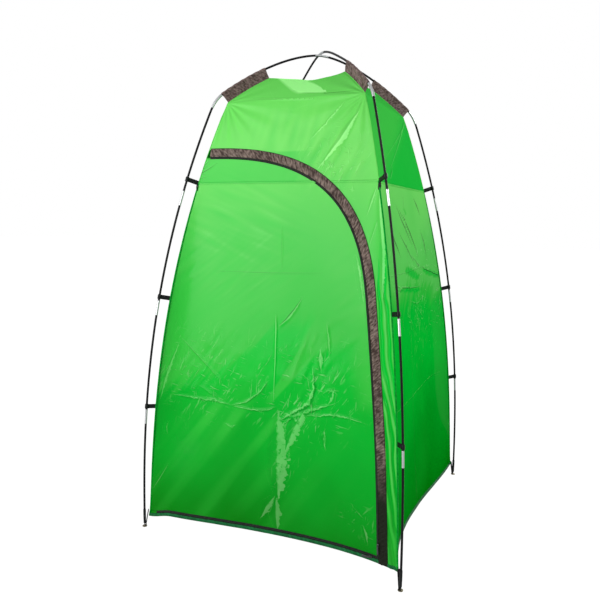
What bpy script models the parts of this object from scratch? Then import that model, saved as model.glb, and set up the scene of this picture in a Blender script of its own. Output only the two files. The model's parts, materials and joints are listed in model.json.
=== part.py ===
"""Shower tent: a square cabin of thin fabric hung inside two crossed shock-corded poles.

Metres, +Z up. The origin lies on the ground below the crossing of the poles and the door side faces -Y.
The corners are a (front left), b (front right), c (rear right) and d (rear left). One pole runs from a to c
and the other, which passes over it, from b to d.
"""

import math

import bmesh
import bpy
from mathutils import Matrix, Vector

# Outline of the poles: a leg that leans in as it rises, an elbow, and a low arched roof
FOOT_SPACING = 1.10
ELBOW_RADIUS = 0.4636
ELBOW_Z = 1.7715
APEX_Z = 1.988
LEG_POWER = 2.35
ROOF_POWER = 1.65
POLE_BASE_Z = 0.045
ELBOW_BEND = 0.040
CROSSING_RUN = 0.20

# Rods and their joints
ROD_RADIUS = 0.0045
BORE_RADIUS = 0.0026
FERRULE_RADIUS = 0.0057
SOCKET_DEPTH = 0.030
SLIP = 0.00035
TOUCH = 0.0003
FOOT_ROD = 0.433
LOWER_ROD = 0.455
MIDDLE_ROD = 0.455
UPPER_ROD = 0.419
ELBOW_HALF = 0.033
CORD_RADIUS = 0.0015

# Feet
PIN_RADIUS = 0.0020
PIN_DEPTH = 0.040
GROMMET_RADIUS = 0.010
GROMMET_THICKNESS = 0.003
WEBBING_THICKNESS = 0.002
FOOT_STRAP_WIDTH = 0.012

# Fabric cabin
FABRIC = 0.002
SEW_GAP = 0.0005
CORNER_GAP = 0.0015
HEM_Z = 0.060
SEAM_Z = 1.434
SEAM_GAP_FOOT = 0.018
SEAM_GAP_RISE = 0.035
LEG_TOP_Z = 1.700
HEM_BOW = 0.050
SEAM_BOW = 0.010
MIDDLE_BOW = 0.028
BOW_SKEW = 0.8
BOW_FLATNESS = 8
HEM_BLEND_Z = 0.50
FOLD_DEPTH = 0.004
FOLD_WAVES = 3
TOP_SAG = 0.035
WALL_COLUMNS = 12

# Pole sleeves on the roof; their outer ends stop this far short of the elbows
SLEEVE_SETBACK = 0.0276
SLEEVE_TOP_RADIUS = 0.2531
SLEEVE_WIDTH = 0.0395
SLEEVE_WALL = 0.0012
SLEEVE_EASE = 0.0006
SLEEVE_EDGE = 0.0024
SLEEVE_STEPS = 5

# Pole clips, counted from the foot, each this far above its ferrule
CLIP_HEIGHT = 0.018
CLIP_WALL = 0.0024
CLIP_EASE = 0.0006
CLIP_RISES = (0.013, 0.016, 0.050)
CLIP_MOUTH = (20, 330)

# Door opening: the flap's middle line rises beside corner b and turns over as an arch.
# An inset is the distance from a leg's line, measured along the front at that height.
RUN_TOP_Z = 1.020
RUN_FOOT_INSET = 0.0739
RUN_BEND_INSET = 0.0934
RUN_TOP_INSET = 0.1123
ARCH_RISE = 0.380
ARCH_SHOULDER_Z = 1.560
ARCH_SHOULDER_INSET = 0.2712
ARCH_END_Z = 1.556
ARCH_END_INSET = 0.0482
FLAP_WIDTH = 0.034
COIL_WIDTH = 0.006
ZIP_Z = 0.078
ZIP_END_INSET = 0.0499
HINGE_FOOT_Z = 0.085
HINGE_FOOT_INSET = 0.0419
HINGE_TOP_Z = 1.530
HINGE_TOP_INSET = 0.0546
HINGE_GAP = 0.012

# Zip sliders and their pulls
SLIDER_WIDTH = 0.008
SLIDER_LENGTH = 0.014
SLIDER_THICKNESS = 0.0026
SLIDER_BEVEL = 0.0008
BAIL_RADIUS = 0.0021
BAIL_WIRE = 0.0005
PULL_WIDTH = 0.007
PULL_LENGTH = 0.032
PULL_THICKNESS = 0.0014
PULL_BAR = 0.0008
PULL_EYE_LENGTH = 0.0032
PULL_EYE_WIDTH = 0.0032
ARCH_SLIDER_Z = 0.125
ARCH_SLIDER_TRAVEL = 0.880
HEM_SLIDER_INSET = 0.1249
HEM_SLIDER_TRAVEL = 0.880

# Derived values
FOOT_RADIUS = FOOT_SPACING / math.sqrt(2)
SOCKET_RADIUS = ROD_RADIUS + SLIP
POLE_STACK = 2 * FERRULE_RADIUS + 2 * TOUCH
FERRULE_RUNS = (FOOT_ROD, FOOT_ROD + LOWER_ROD, FOOT_ROD + LOWER_ROD + MIDDLE_ROD)
ELBOW_RUN = FERRULE_RUNS[2] + UPPER_ROD
RING_SIDES = 8
CUT_DEPTH = 1.0
SLEEVE_OUTER_RADIUS = ELBOW_RADIUS - SLEEVE_SETBACK


def leg_radius(z):
    """Gives the distance of a leg from the tent's middle at height z."""
    return FOOT_RADIUS - (FOOT_RADIUS - ELBOW_RADIUS) * (z / ELBOW_Z) ** LEG_POWER


def inside_leg(z, inset):
    """Gives the x of a point on the front at height z, this far inside the leg of corner b."""
    return leg_radius(z) / math.sqrt(2) - inset


RUN_FOOT = (inside_leg(HEM_Z, RUN_FOOT_INSET), HEM_Z)
RUN_BEND_X = inside_leg((HEM_Z + RUN_TOP_Z) / 2, RUN_BEND_INSET)
RUN_TOP = (inside_leg(RUN_TOP_Z, RUN_TOP_INSET), RUN_TOP_Z)
ARCH_SHOULDER = (inside_leg(ARCH_SHOULDER_Z, ARCH_SHOULDER_INSET), ARCH_SHOULDER_Z)
ARCH_END = (-inside_leg(ARCH_END_Z, ARCH_END_INSET), ARCH_END_Z)
ZIP_LEFT_X = -inside_leg(ZIP_Z, ZIP_END_INSET)
HINGE_FOOT = (-inside_leg(HINGE_FOOT_Z, HINGE_FOOT_INSET), HINGE_FOOT_Z)
HINGE_TOP = (-inside_leg(HINGE_TOP_Z, HINGE_TOP_INSET), HINGE_TOP_Z)
HEM_SLIDER_X = inside_leg(ZIP_Z, HEM_SLIDER_INSET)

CORNERS = {"a": (-1, -1), "b": (1, -1), "c": (1, 1), "d": (-1, 1)}
WALL_TURNS = {"front": 0, "right": 90, "back": 180, "left": 270}
WALL_SKEWS = {"front": BOW_SKEW, "right": -BOW_SKEW, "back": 0.0, "left": 0.0}


def spaced(first, last, count):
    """Gives count + 1 numbers evenly spread from first to last."""
    return [first * (1 - i / count) + last * i / count for i in range(count + 1)]


def smooth(share):
    """Eases a share between 0 and 1, flat at both ends."""
    share = min(1.0, max(0.0, share))
    return share * share * (3 - 2 * share)


def material(name, colour, roughness, metallic=0.0):
    """Makes a plain Principled material."""
    made = bpy.data.materials.new(name)
    made.use_nodes = True
    shader = made.node_tree.nodes["Principled BSDF"]
    shader.inputs["Base Color"].default_value = (*colour, 1.0)
    shader.inputs["Roughness"].default_value = roughness
    shader.inputs["Metallic"].default_value = metallic
    return made


class Workshop:
    """Holds the collections and materials, and turns meshes into named objects."""

    def __init__(self):
        for old in list(bpy.data.objects):
            bpy.data.objects.remove(old)
        self.parts = self._collection("shower_tent")
        self.cutters = self._collection("cutters")
        self.finishes = {
            "rod": material("rod_black", (0.02, 0.02, 0.022), 0.35),
            "steel": material("steel", (0.72, 0.73, 0.74), 0.25, 1.0),
            "cord": material("shock_cord", (0.75, 0.75, 0.73), 0.8),
            "green": material("green_fabric", (0.03, 0.62, 0.08), 0.35),
            "brown": material("brown_fabric", (0.10, 0.065, 0.06), 0.5),
            "coil": material("zip_coil", (0.01, 0.02, 0.012), 0.5),
            "metal": material("slider_metal", (0.05, 0.05, 0.05), 0.35, 0.8),
            "plastic": material("clip_black", (0.012, 0.012, 0.014), 0.45),
        }

    @staticmethod
    def _collection(name):
        made = bpy.data.collections.new(name)
        bpy.context.scene.collection.children.link(made)
        return made

    def add(self, name, mesh, finish):
        """Adds a part."""
        made = bpy.data.objects.new(name, mesh)
        made.data.materials.append(self.finishes[finish])
        self.parts.objects.link(made)
        return made

    def add_cutter(self, name, mesh):
        """Adds a shape that only cuts others."""
        made = bpy.data.objects.new(name, mesh)
        made.hide_render = True
        made.display_type = "WIRE"
        self.cutters.objects.link(made)
        return made

    def add_pivot(self, name, location):
        """Adds an empty that a moving piece hangs from."""
        made = bpy.data.objects.new(name, None)
        made.empty_display_size = 0.03
        made.location = location
        self.parts.objects.link(made)
        return made


def finished_mesh(name, bm, rounded=False):
    """Closes a bmesh into a mesh with its faces pointing out."""
    bmesh.ops.recalc_face_normals(bm, faces=bm.faces)
    mesh = bpy.data.meshes.new(name)
    bm.to_mesh(mesh)
    bm.free()
    if rounded:
        mesh.shade_smooth()
        mesh.set_sharp_from_angle(angle=math.radians(50))
    return mesh


def boolean(target, operation, cutter):
    """Puts an exact Boolean on an object."""
    modifier = target.modifiers.new(f"{operation.lower()}_{cutter.name}", "BOOLEAN")
    modifier.operation = operation
    modifier.solver = "EXACT"
    modifier.object = cutter


def attach(child, pivot):
    """Parents an object without moving it."""
    bpy.context.view_layer.update()
    child.parent = pivot
    child.matrix_parent_inverse = pivot.matrix_world.inverted()


def roof_height(radius, lift=0.0):
    """Height of a roof rod at this distance from the middle; lift carries one pole over the other."""
    fall = (APEX_Z - ELBOW_Z) * (radius / ELBOW_RADIUS) ** ROOF_POWER
    return APEX_Z - fall + lift * smooth(1 - radius / CROSSING_RUN)


def half_outline(lift):
    """Points (radius, height) of half a pole from its foot to the crossing, with a rounded elbow."""
    elbow = Vector((ELBOW_RADIUS, ELBOW_Z))
    leg = [Vector((leg_radius(z), z)) for z in spaced(POLE_BASE_Z, ELBOW_Z, 160)]
    roof = [Vector((r, roof_height(r, lift))) for r in spaced(ELBOW_RADIUS, 0.0, 120)]
    leg = [point for point in leg if (point - elbow).length > ELBOW_BEND]
    roof = [point for point in roof if (point - elbow).length > ELBOW_BEND]
    bend = []
    for t in spaced(0, 1, 16)[1:-1]:
        bend.append((1 - t) ** 2 * leg[-1] + 2 * t * (1 - t) * elbow + t * t * roof[0])
    return leg + bend + roof


class Pole:
    """One arch in a diagonal plane, measured by arc length from the bottom of its first leg."""

    def __init__(self, corner, lift):
        self.outward = Vector((*CORNERS[corner], 0)).normalized()
        self.side = self.outward.cross(Vector((0, 0, 1)))
        half = half_outline(lift)
        far = [Vector((-point.x, point.y)) for point in reversed(half[:-1])]
        self.points = half + far
        self.runs = [0.0]
        for first, second in zip(self.points, self.points[1:]):
            self.runs.append(self.runs[-1] + (second - first).length)
        self.length = self.runs[-1]

    def _flat(self, run):
        """Point and direction in the pole's own plane."""
        run = min(self.length, max(0.0, run))
        index = 0
        while index < len(self.runs) - 2 and self.runs[index + 1] < run:
            index += 1
        first, second = self.points[index], self.points[index + 1]
        share = (run - self.runs[index]) / (self.runs[index + 1] - self.runs[index])
        return first.lerp(second, share), (second - first).normalized()

    def _solid(self, flat):
        return self.outward * flat.x + Vector((0, 0, flat.y))

    def frame(self, run):
        """Matrix with X across the pole's plane, Y away from the cabin and Z along the pole."""
        reach = 0.004
        before, _ = self._flat(run - reach)
        after, _ = self._flat(run + reach)
        point, _ = self._flat(run)
        along = self._solid(after - before).normalized()
        rotation = Matrix((self.side, along.cross(self.side), along)).transposed()
        return Matrix.Translation(self._solid(point)) @ rotation.to_4x4()

    def run_at_radius(self, radius):
        """Arc length at which the near half has this distance from the middle."""
        for index, point in enumerate(self.points[:-1]):
            following = self.points[index + 1]
            if following.x <= radius:
                share = (point.x - radius) / (point.x - following.x)
                return self.runs[index] + share * (self.runs[index + 1] - self.runs[index])
        return self.length / 2

    def run_at_height(self, z):
        """Arc length at which the near leg reaches this height."""
        for index, point in enumerate(self.points[:-1]):
            following = self.points[index + 1]
            if following.y >= z:
                share = (z - point.y) / (following.y - point.y)
                return self.runs[index] + share * (self.runs[index + 1] - self.runs[index])
        return self.length / 2

    def seen_from(self, far, run):
        """Turns a distance from one foot into arc length, for the far leg as for the near one."""
        return self.length - run if far else run


def skin(bm, rings, joined):
    """Spans equal rings of vertices with faces; joined closes the last ring to the first."""
    pairs = list(zip(rings, rings[1:]))
    if joined:
        pairs.append((rings[-1], rings[0]))
    for first, second in pairs:
        for i in range(len(first)):
            j = (i + 1) % len(first)
            bm.faces.new((first[i], first[j], second[j], second[i]))


def tube_mesh(name, pole, far, outer, inner):
    """Hollow tube on a pole's line from (run, radius) steps of its outside and of its bore."""
    bm = bmesh.new()
    rings = []
    for run, radius in outer + list(reversed(inner)):
        placed = pole.frame(pole.seen_from(far, run))
        circle = bmesh.ops.create_circle(bm, segments=RING_SIDES, radius=radius, matrix=placed)
        rings.append(circle["verts"])
    skin(bm, rings, joined=True)
    return finished_mesh(name, bm, rounded=True)


def straight_rod_mesh(name, pole, far, start, end, has_ferrule):
    """Rod between two arc lengths; its ferrule, where it has one, is glued on and forms the next socket."""
    inner_runs = spaced(start + SOCKET_DEPTH, end - SOCKET_DEPTH, 3)
    inner_runs += [clip_run(index) for index in range(len(CLIP_RISES))]
    inner_runs = sorted(run for run in inner_runs if start < run < end)
    outer = [(start, ROD_RADIUS)] + [(run, ROD_RADIUS) for run in inner_runs]
    inner = [(start, BORE_RADIUS)] + [(run, BORE_RADIUS) for run in inner_runs]
    inner.append((end, BORE_RADIUS))
    if has_ferrule:
        mouth = end + SOCKET_DEPTH
        outer += [(inner_runs[-1], FERRULE_RADIUS), (mouth, FERRULE_RADIUS)]
        inner += [(end, SOCKET_RADIUS), (mouth, SOCKET_RADIUS)]
    else:
        outer.append((end, ROD_RADIUS))
    return tube_mesh(name, pole, far, outer, inner)


def sleeve_runs(pole):
    """Arc lengths at which a roof rod and its sleeve share a ring."""
    first = pole.run_at_radius(SLEEVE_OUTER_RADIUS)
    last = pole.run_at_radius(SLEEVE_TOP_RADIUS)
    return spaced(first, last, SLEEVE_STEPS)


def elbow_runs():
    """Arc lengths of an elbow fitting's mouth and socket floor, and of the rings round its bend."""
    mouth = ELBOW_RUN - ELBOW_HALF
    floor = mouth + SOCKET_DEPTH
    return mouth, floor, spaced(floor, ELBOW_RUN + ELBOW_HALF, 3)[1:]


def roof_runs(pole):
    """Arc lengths of the rings of a roof rod from its sleeve's foot to the mouth of the centre ferrule."""
    runs = sleeve_runs(pole)
    return runs + spaced(runs[-1], pole.length / 2 - SOCKET_DEPTH, 4)[1:]


def roof_rod_mesh(name, pole, far):
    """Roof rod with the bent elbow fitting on its lower end."""
    mouth, floor, bend = elbow_runs()
    fitting_end = bend[-1]
    above = roof_runs(pole) + [pole.length / 2 - TOUCH / 2]
    outer = [(mouth, FERRULE_RADIUS), (floor, FERRULE_RADIUS)]
    outer += [(run, FERRULE_RADIUS) for run in bend]
    outer += [(run, ROD_RADIUS) for run in [fitting_end] + above]
    inner = [(mouth, SOCKET_RADIUS), (floor, SOCKET_RADIUS), (floor, BORE_RADIUS)]
    inner += [(run, BORE_RADIUS) for run in bend + above]
    return tube_mesh(name, pole, far, outer, inner)


def build_poles(shop, poles):
    """Rods, centre ferrules and shock cords of both poles."""
    joints = FERRULE_RUNS
    for corner in CORNERS:
        pole, far = poles[corner]
        spans = {
            "foot": (0.0, joints[0], True),
            "lower": (joints[0] + TOUCH, joints[1], True),
            "middle": (joints[1] + TOUCH, joints[2], True),
            "upper": (joints[2] + TOUCH, elbow_runs()[1] - TOUCH, False),
        }
        for label, (start, end, has_ferrule) in spans.items():
            name = f"pole_{corner}_{label}_rod"
            shop.add(name, straight_rod_mesh(name, pole, far, start, end, has_ferrule), "rod")
        name = f"pole_{corner}_roof_rod"
        shop.add(name, roof_rod_mesh(name, pole, far), "rod")
    for label, corner in (("ac", "a"), ("bd", "b")):
        pole, _ = poles[corner]
        middle = pole.length / 2
        runs = (middle - SOCKET_DEPTH, middle, middle + SOCKET_DEPTH)
        outer = [(run, FERRULE_RADIUS) for run in runs]
        inner = [(run, SOCKET_RADIUS) for run in runs]
        name = f"centre_ferrule_{label}"
        shop.add(name, tube_mesh(name, pole, False, outer, inner), "steel")
        shop.parts.objects.link(cord_object(f"shock_cord_{label}", pole, shop.finishes["cord"]))


def cord_object(name, pole, finish):
    """Elastic cord through the bores of one pole, from pin to pin."""
    mouth, floor, bend = elbow_runs()
    runs = [PIN_DEPTH + TOUCH]
    for start, end in zip((0.0, *FERRULE_RUNS), (*FERRULE_RUNS, mouth)):
        runs += [run for run in spaced(start, end, 3)[1:] if run > runs[-1]]
    runs += [floor] + bend
    runs += roof_runs(pole) + [pole.length / 2]
    runs += [pole.length - run for run in reversed(runs[:-1])]
    curve = bpy.data.curves.new(name, "CURVE")
    curve.dimensions = "3D"
    curve.bevel_depth = CORD_RADIUS
    curve.bevel_resolution = 2
    curve.use_fill_caps = True
    spline = curve.splines.new("POLY")
    spline.points.add(len(runs) - 1)
    for point, run in zip(spline.points, runs):
        point.co = (*pole.frame(run).translation, 1.0)
    curve.materials.append(finish)
    return bpy.data.objects.new(name, curve)


def seam_radius(z):
    """Distance of a fabric corner seam from the tent's middle, below the sleeves."""
    rise = max(0.0, z - HEM_Z) / (LEG_TOP_Z - HEM_Z)
    return leg_radius(z) - SEAM_GAP_FOOT - SEAM_GAP_RISE * math.sqrt(rise)


def sleeve_seam(share):
    """(radius, height) on the seam between sleeve and fabric, from its outer end to its top."""
    radius = SLEEVE_OUTER_RADIUS + (SLEEVE_TOP_RADIUS - SLEEVE_OUTER_RADIUS) * share
    step = 0.001
    slope = (roof_height(radius + step) - roof_height(radius - step)) / (2 * step)
    inward = Vector((slope, -1)).normalized()
    point = Vector((radius, roof_height(radius))) + SLEEVE_WIDTH * inward
    return point.x, point.y


def corner_heights():
    """Heights of the rows of points up the lower and the upper part of a wall."""
    clips = [clip_height(i) for i in range(len(CLIP_RISES))]
    lower = spaced(HEM_Z, clips[0], 3) + spaced(clips[0], clips[1], 3)[1:]
    lower += spaced(clips[1], SEAM_Z, 3)[1:]
    upper = spaced(SEAM_Z, LEG_TOP_Z, 3)
    return lower, upper[1:]


def corner_line(top_share):
    """(radius, height) rows of a wall from hem to top; top_share shortens the part between the sleeves."""
    lower, upper = corner_heights()
    rows = [(seam_radius(z), z) for z in lower + upper]
    rows += [sleeve_seam(share * top_share) for share in spaced(0, 1, 3)]
    return rows


def wall_bow(across, z, skew):
    """How far a wall's surface lies inside its plane: the fabric bows in, most of all at its hem."""
    rise = (z - HEM_Z) / (SEAM_Z - HEM_Z)
    if rise < 1:
        depth = HEM_BOW + (SEAM_BOW - HEM_BOW) * rise + 4 * MIDDLE_BOW * rise * (1 - rise)
    else:
        depth = SEAM_BOW * (1 - smooth((z - SEAM_Z) / (LEG_TOP_Z - SEAM_Z)))
    hem_shape = (1 - across * across) * (1 + skew * across)
    flat_shape = 1 - abs(across) ** BOW_FLATNESS
    shape = hem_shape + (flat_shape - hem_shape) * smooth((z - HEM_Z) / (HEM_BLEND_Z - HEM_Z))
    folds = FOLD_DEPTH * (1 - math.cos(2 * math.pi * FOLD_WAVES * across)) / 2
    taper = (1 - across * across) * smooth(z / HEM_BLEND_Z) * smooth((LEG_TOP_Z - z) / HEM_BLEND_Z)
    return depth * shape + folds * taper


def sheet_mesh(name, wall):
    """One whole wall as a closed sheet. Side walls cover the corners and the other two end against them."""
    inset = 0.0 if wall in ("left", "right") else FABRIC + CORNER_GAP
    bm = bmesh.new()
    columns = []
    for across in spaced(-1, 1, WALL_COLUMNS):
        sag_share = TOP_SAG * (1 - across * across) / (SLEEVE_OUTER_RADIUS - SLEEVE_TOP_RADIUS)
        column = []
        for radius, z in corner_line(1 - sag_share):
            half = radius / math.sqrt(2)
            depth = half - wall_bow(across, z, WALL_SKEWS[wall])
            column.append(bm.verts.new((across * (half - inset), -depth, z)))
        columns.append(column)
    for first, second in zip(columns, columns[1:]):
        for i in range(len(first) - 1):
            bm.faces.new((first[i], second[i], second[i + 1], first[i + 1]))
    backs = bmesh.ops.extrude_face_region(bm, geom=bm.faces[:], use_keep_orig=True)
    moved = [item for item in backs["geom"] if isinstance(item, bmesh.types.BMVert)]
    bmesh.ops.translate(bm, verts=moved, vec=(0, FABRIC, 0))
    bmesh.ops.triangulate(bm, faces=bm.faces)
    turn = Matrix.Rotation(math.radians(WALL_TURNS[wall]), 4, "Z")
    bmesh.ops.transform(bm, matrix=turn, verts=bm.verts)
    return finished_mesh(name, bm, rounded=True)


def box_cutter(shop, name, low_z, high_z):
    """Wide box between two heights."""
    bm = bmesh.new()
    placed = Matrix.Translation((0, 0, (low_z + high_z) / 2))
    scaled = Matrix.Diagonal((2 * CUT_DEPTH, 2 * CUT_DEPTH, high_z - low_z, 1))
    bmesh.ops.create_cube(bm, size=1, matrix=placed @ scaled)
    return shop.add_cutter(name, finished_mesh(name, bm))


def outline_cutter(shop, name, outline):
    """Prism through the front wall with this (x, z) outline."""
    bm = bmesh.new()
    face = bm.faces.new([bm.verts.new((x, -CUT_DEPTH, z)) for x, z in outline])
    grown = bmesh.ops.extrude_face_region(bm, geom=[face], use_keep_orig=True)
    moved = [item for item in grown["geom"] if isinstance(item, bmesh.types.BMVert)]
    bmesh.ops.translate(bm, verts=moved, vec=(0, CUT_DEPTH - 2 * FABRIC, 0))
    bmesh.ops.triangulate(bm, faces=bm.faces)
    return shop.add_cutter(name, finished_mesh(name, bm))


def run_middle(z):
    """X of the flap's middle line on the rising run, a gentle bow."""
    share = (z - RUN_FOOT[1]) / (RUN_TOP[1] - RUN_FOOT[1])
    rest = 1 - share
    return rest * rest * RUN_FOOT[0] + 2 * share * rest * RUN_BEND_X + share * share * RUN_TOP[0]


def flap_middle():
    """Middle line of the flap from hem height to its end at corner a."""
    run = [Vector((run_middle(z), z)) for z in spaced(RUN_FOOT[1], RUN_TOP[1], 6)]
    leaving = (Vector(RUN_TOP) - Vector((RUN_BEND_X, (RUN_FOOT[1] + RUN_TOP[1]) / 2))).normalized()
    start, end = Vector(RUN_TOP), Vector(ARCH_END)
    first, second = start + ARCH_RISE * leaving, Vector(ARCH_SHOULDER)
    arch = []
    for t in spaced(0, 1, 14)[1:]:
        rest = 1 - t
        point = rest**3 * start + 3 * rest * rest * t * first
        arch.append(point + 3 * rest * t * t * second + t**3 * end)
    return run + arch


def beside_flap(offset, foot_z):
    """Line beside the flap's middle, outwards for a positive offset, down to foot_z."""
    middle = flap_middle()
    line = []
    for i, point in enumerate(middle):
        along = (middle[min(i + 1, len(middle) - 1)] - middle[max(i - 1, 0)]).normalized()
        across = Vector((along.y, -along.x))
        line.append(point + offset * across)
    kept = [point for point in line if point.y > foot_z + 0.02]
    below = line[len(line) - len(kept) - 1]
    share = (foot_z - below.y) / (kept[0].y - below.y)
    return [below.lerp(kept[0], share)] + kept


def hinge_x(z):
    """X of the middle of the gap along which the door folds."""
    share = (z - HINGE_FOOT[1]) / (HINGE_TOP[1] - HINGE_FOOT[1])
    return HINGE_FOOT[0] + (HINGE_TOP[0] - HINGE_FOOT[0]) * share


def door_outlines():
    """(x, z) outlines of the flap, the zip coil, the door and the opening that they all fill."""
    half = FLAP_WIDTH / 2
    zip_low, zip_high = ZIP_Z - COIL_WIDTH / 2, ZIP_Z + COIL_WIDTH / 2
    coil_edge = -half - SEW_GAP
    door_edge = coil_edge - COIL_WIDTH - SEW_GAP
    flap = beside_flap(half, zip_low) + beside_flap(-half, zip_low)[::-1]
    coil = beside_flap(coil_edge, zip_low)
    coil += beside_flap(coil_edge - COIL_WIDTH, zip_high)[::-1]
    coil += [Vector((ZIP_LEFT_X, zip_high)), Vector((ZIP_LEFT_X, zip_low))]
    door_foot = zip_high + SEW_GAP
    side = hinge_x(0) - hinge_x(1)
    edge = HINGE_GAP / 2
    door = [point for point in beside_flap(door_edge, door_foot) if point.x > hinge_x(point.y) + 2 * edge]
    top_z = door[-1].y
    door.append(Vector((hinge_x(top_z) + edge, top_z)))
    door.append(Vector((hinge_x(door_foot) + edge, door_foot)))
    opening_foot = zip_low - SEW_GAP
    opening = beside_flap(half + SEW_GAP, opening_foot)
    end_x = opening[-1].x - SEW_GAP
    opening.append(Vector((end_x, opening[-1].y)))
    opening.append(Vector((hinge_x(top_z) - edge, top_z - side * edge)))
    opening.append(Vector((hinge_x(opening_foot) - edge, opening_foot)))
    return {"flap": flap, "coil": coil, "door": door, "opening": opening}


def door_hinge_line():
    """Ends of the straight fold axis of the door, which lies on or just outside the fabric."""
    heights = spaced(HINGE_FOOT[1], HINGE_TOP[1], 24)
    surface = [front_surface(hinge_x(z), z).y for z in heights]
    chord = spaced(surface[0], surface[-1], 24)
    shift = min(y - line for y, line in zip(surface, chord))
    foot = Vector((HINGE_FOOT[0], surface[0] + shift, HINGE_FOOT[1]))
    top = Vector((HINGE_TOP[0], surface[-1] + shift, HINGE_TOP[1]))
    return foot, top


def cell(values, value):
    """Index and share of the cell of an ascending list that holds a value."""
    index = 0
    while index < len(values) - 2 and values[index + 1] < value:
        index += 1
    return index, (value - values[index]) / (values[index + 1] - values[index])


def front_surface(x, z):
    """Point of the front sheet's outer face, below the sleeves, as its grid of points spans it."""
    lower, upper = corner_heights()
    heights, columns = lower + upper, spaced(-1, 1, WALL_COLUMNS)
    row, up = cell(heights, z)
    low, high = heights[row], heights[row + 1]
    low_half, high_half = seam_radius(low) / math.sqrt(2), seam_radius(high) / math.sqrt(2)
    half = low_half + (high_half - low_half) * up
    column, along = cell(columns, x / (half - FABRIC - CORNER_GAP))
    bows = []
    for across in (columns[column], columns[column + 1]):
        first = wall_bow(across, low, WALL_SKEWS["front"])
        second = wall_bow(across, high, WALL_SKEWS["front"])
        bows.append(first + (second - first) * up)
    return Vector((x, bows[0] + (bows[1] - bows[0]) * along - half, z))


def build_cabin(shop):
    """Walls, door, flap and zip coil."""
    low = box_cutter(shop, "below_seam", -CUT_DEPTH, SEAM_Z - TOUCH / 2)
    high = box_cutter(shop, "above_seam", SEAM_Z + TOUCH / 2, SEAM_Z + CUT_DEPTH)
    for wall in ("left", "back", "right"):
        for label, cutter in (("lower", low), ("upper", high)):
            name = f"{wall}_{label}_panel"
            panel = shop.add(name, sheet_mesh(name, wall), "green")
            boolean(panel, "INTERSECT", cutter)
    outlines = door_outlines()
    cut = {key: outline_cutter(shop, f"{key}_outline", line) for key, line in outlines.items()}
    pieces = {
        "front_upper_panel": ("green", [("INTERSECT", high), ("DIFFERENCE", cut["opening"])]),
        "front_lower_frame": ("green", [("INTERSECT", low), ("DIFFERENCE", cut["opening"])]),
        "storm_flap": ("brown", [("INTERSECT", cut["flap"])]),
        "zip_coil": ("coil", [("INTERSECT", cut["coil"])]),
        "door_lower_panel": ("green", [("INTERSECT", low), ("INTERSECT", cut["door"])]),
        "door_upper_panel": ("green", [("INTERSECT", high), ("INTERSECT", cut["door"])]),
    }
    pivot = shop.add_pivot("door_hinge", door_hinge_line()[0])
    for name, (finish, cuts) in pieces.items():
        piece = shop.add(name, sheet_mesh(name, "front"), finish)
        for operation, cutter in cuts:
            boolean(piece, operation, cutter)
        if name.startswith("door"):
            attach(piece, pivot)


def build_sleeves(shop, poles):
    """Brown sleeve round each roof rod, with a flat fin down to the fabric."""
    bore = ROD_RADIUS + SLEEVE_EASE
    outside = bore + SLEEVE_WALL
    fin = SLEEVE_WIDTH - SEW_GAP
    for corner in CORNERS:
        pole, far = poles[corner]
        bm = bmesh.new()
        rings = []
        for run in sleeve_runs(pole):
            placed = pole.frame(pole.seen_from(far, run))
            ring = bmesh.ops.create_circle(bm, segments=RING_SIDES, radius=outside, matrix=placed)
            for vertex in ring["verts"]:
                flat = placed.inverted() @ vertex.co
                if flat.y < -outside / 2:
                    share = flat.x / outside
                    vertex.co = placed @ Vector((share * SLEEVE_EDGE, -fin, 0))
            rings.append(ring["verts"])
        for run in reversed(sleeve_runs(pole)):
            placed = pole.frame(pole.seen_from(far, run))
            ring = bmesh.ops.create_circle(bm, segments=RING_SIDES, radius=bore, matrix=placed)
            rings.append(ring["verts"])
        skin(bm, rings, joined=True)
        bmesh.ops.triangulate(bm, faces=bm.faces)
        name = f"pole_sleeve_{corner}"
        shop.add(name, finished_mesh(name, bm, rounded=True), "brown")


def arc(radius, first, last, steps):
    """Points on a circle round the pole, by degrees."""
    turns = [math.radians(degree) for degree in spaced(first, last, steps)]
    return [(radius * math.cos(turn), radius * math.sin(turn)) for turn in turns]


def clip_run(index):
    """Arc length of a clip's middle."""
    return FERRULE_RUNS[index] + SOCKET_DEPTH + CLIP_RISES[index]


def clip_height(index):
    """Height of a clip's middle, on either pole alike."""
    return REFERENCE_POLE.frame(clip_run(index)).translation.z


def build_clips(shop, poles):
    """Black hooks that hold the corner seams to the poles, each one on its short strap."""
    inside = ROD_RADIUS + CLIP_EASE
    outside = inside + CLIP_WALL
    half = WEBBING_THICKNESS / 2
    root = math.degrees(math.asin(half / outside))
    for corner in CORNERS:
        pole, far = poles[corner]
        for index in range(len(CLIP_RISES)):
            placed = pole.frame(pole.seen_from(far, clip_run(index)))
            z = placed.translation.z
            lean = abs(placed.to_3x3().col[2].z)
            reach = (leg_radius(z) - seam_radius(z)) * lean - SEW_GAP
            outline = arc(outside, CLIP_MOUTH[0], 270 - root, 7)
            outline += [(-half, -reach), (half, -reach)]
            outline += arc(outside, 270 + root, CLIP_MOUTH[1], 2)
            outline += arc(inside, CLIP_MOUTH[1], CLIP_MOUTH[0], 8)
            name = f"clip_{corner}_{index + 1}"
            curve = bpy.data.curves.new(name, "CURVE")
            curve.dimensions = "2D"
            curve.fill_mode = "BOTH"
            curve.extrude = CLIP_HEIGHT / 2
            spline = curve.splines.new("POLY")
            spline.points.add(len(outline) - 1)
            for point, (x, y) in zip(spline.points, outline):
                point.co = (x, y, 0, 1)
            spline.use_cyclic_u = True
            clip = bpy.data.objects.new(name, curve)
            clip.matrix_world = placed
            curve.materials.append(shop.finishes["plastic"])
            shop.parts.objects.link(clip)


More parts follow.
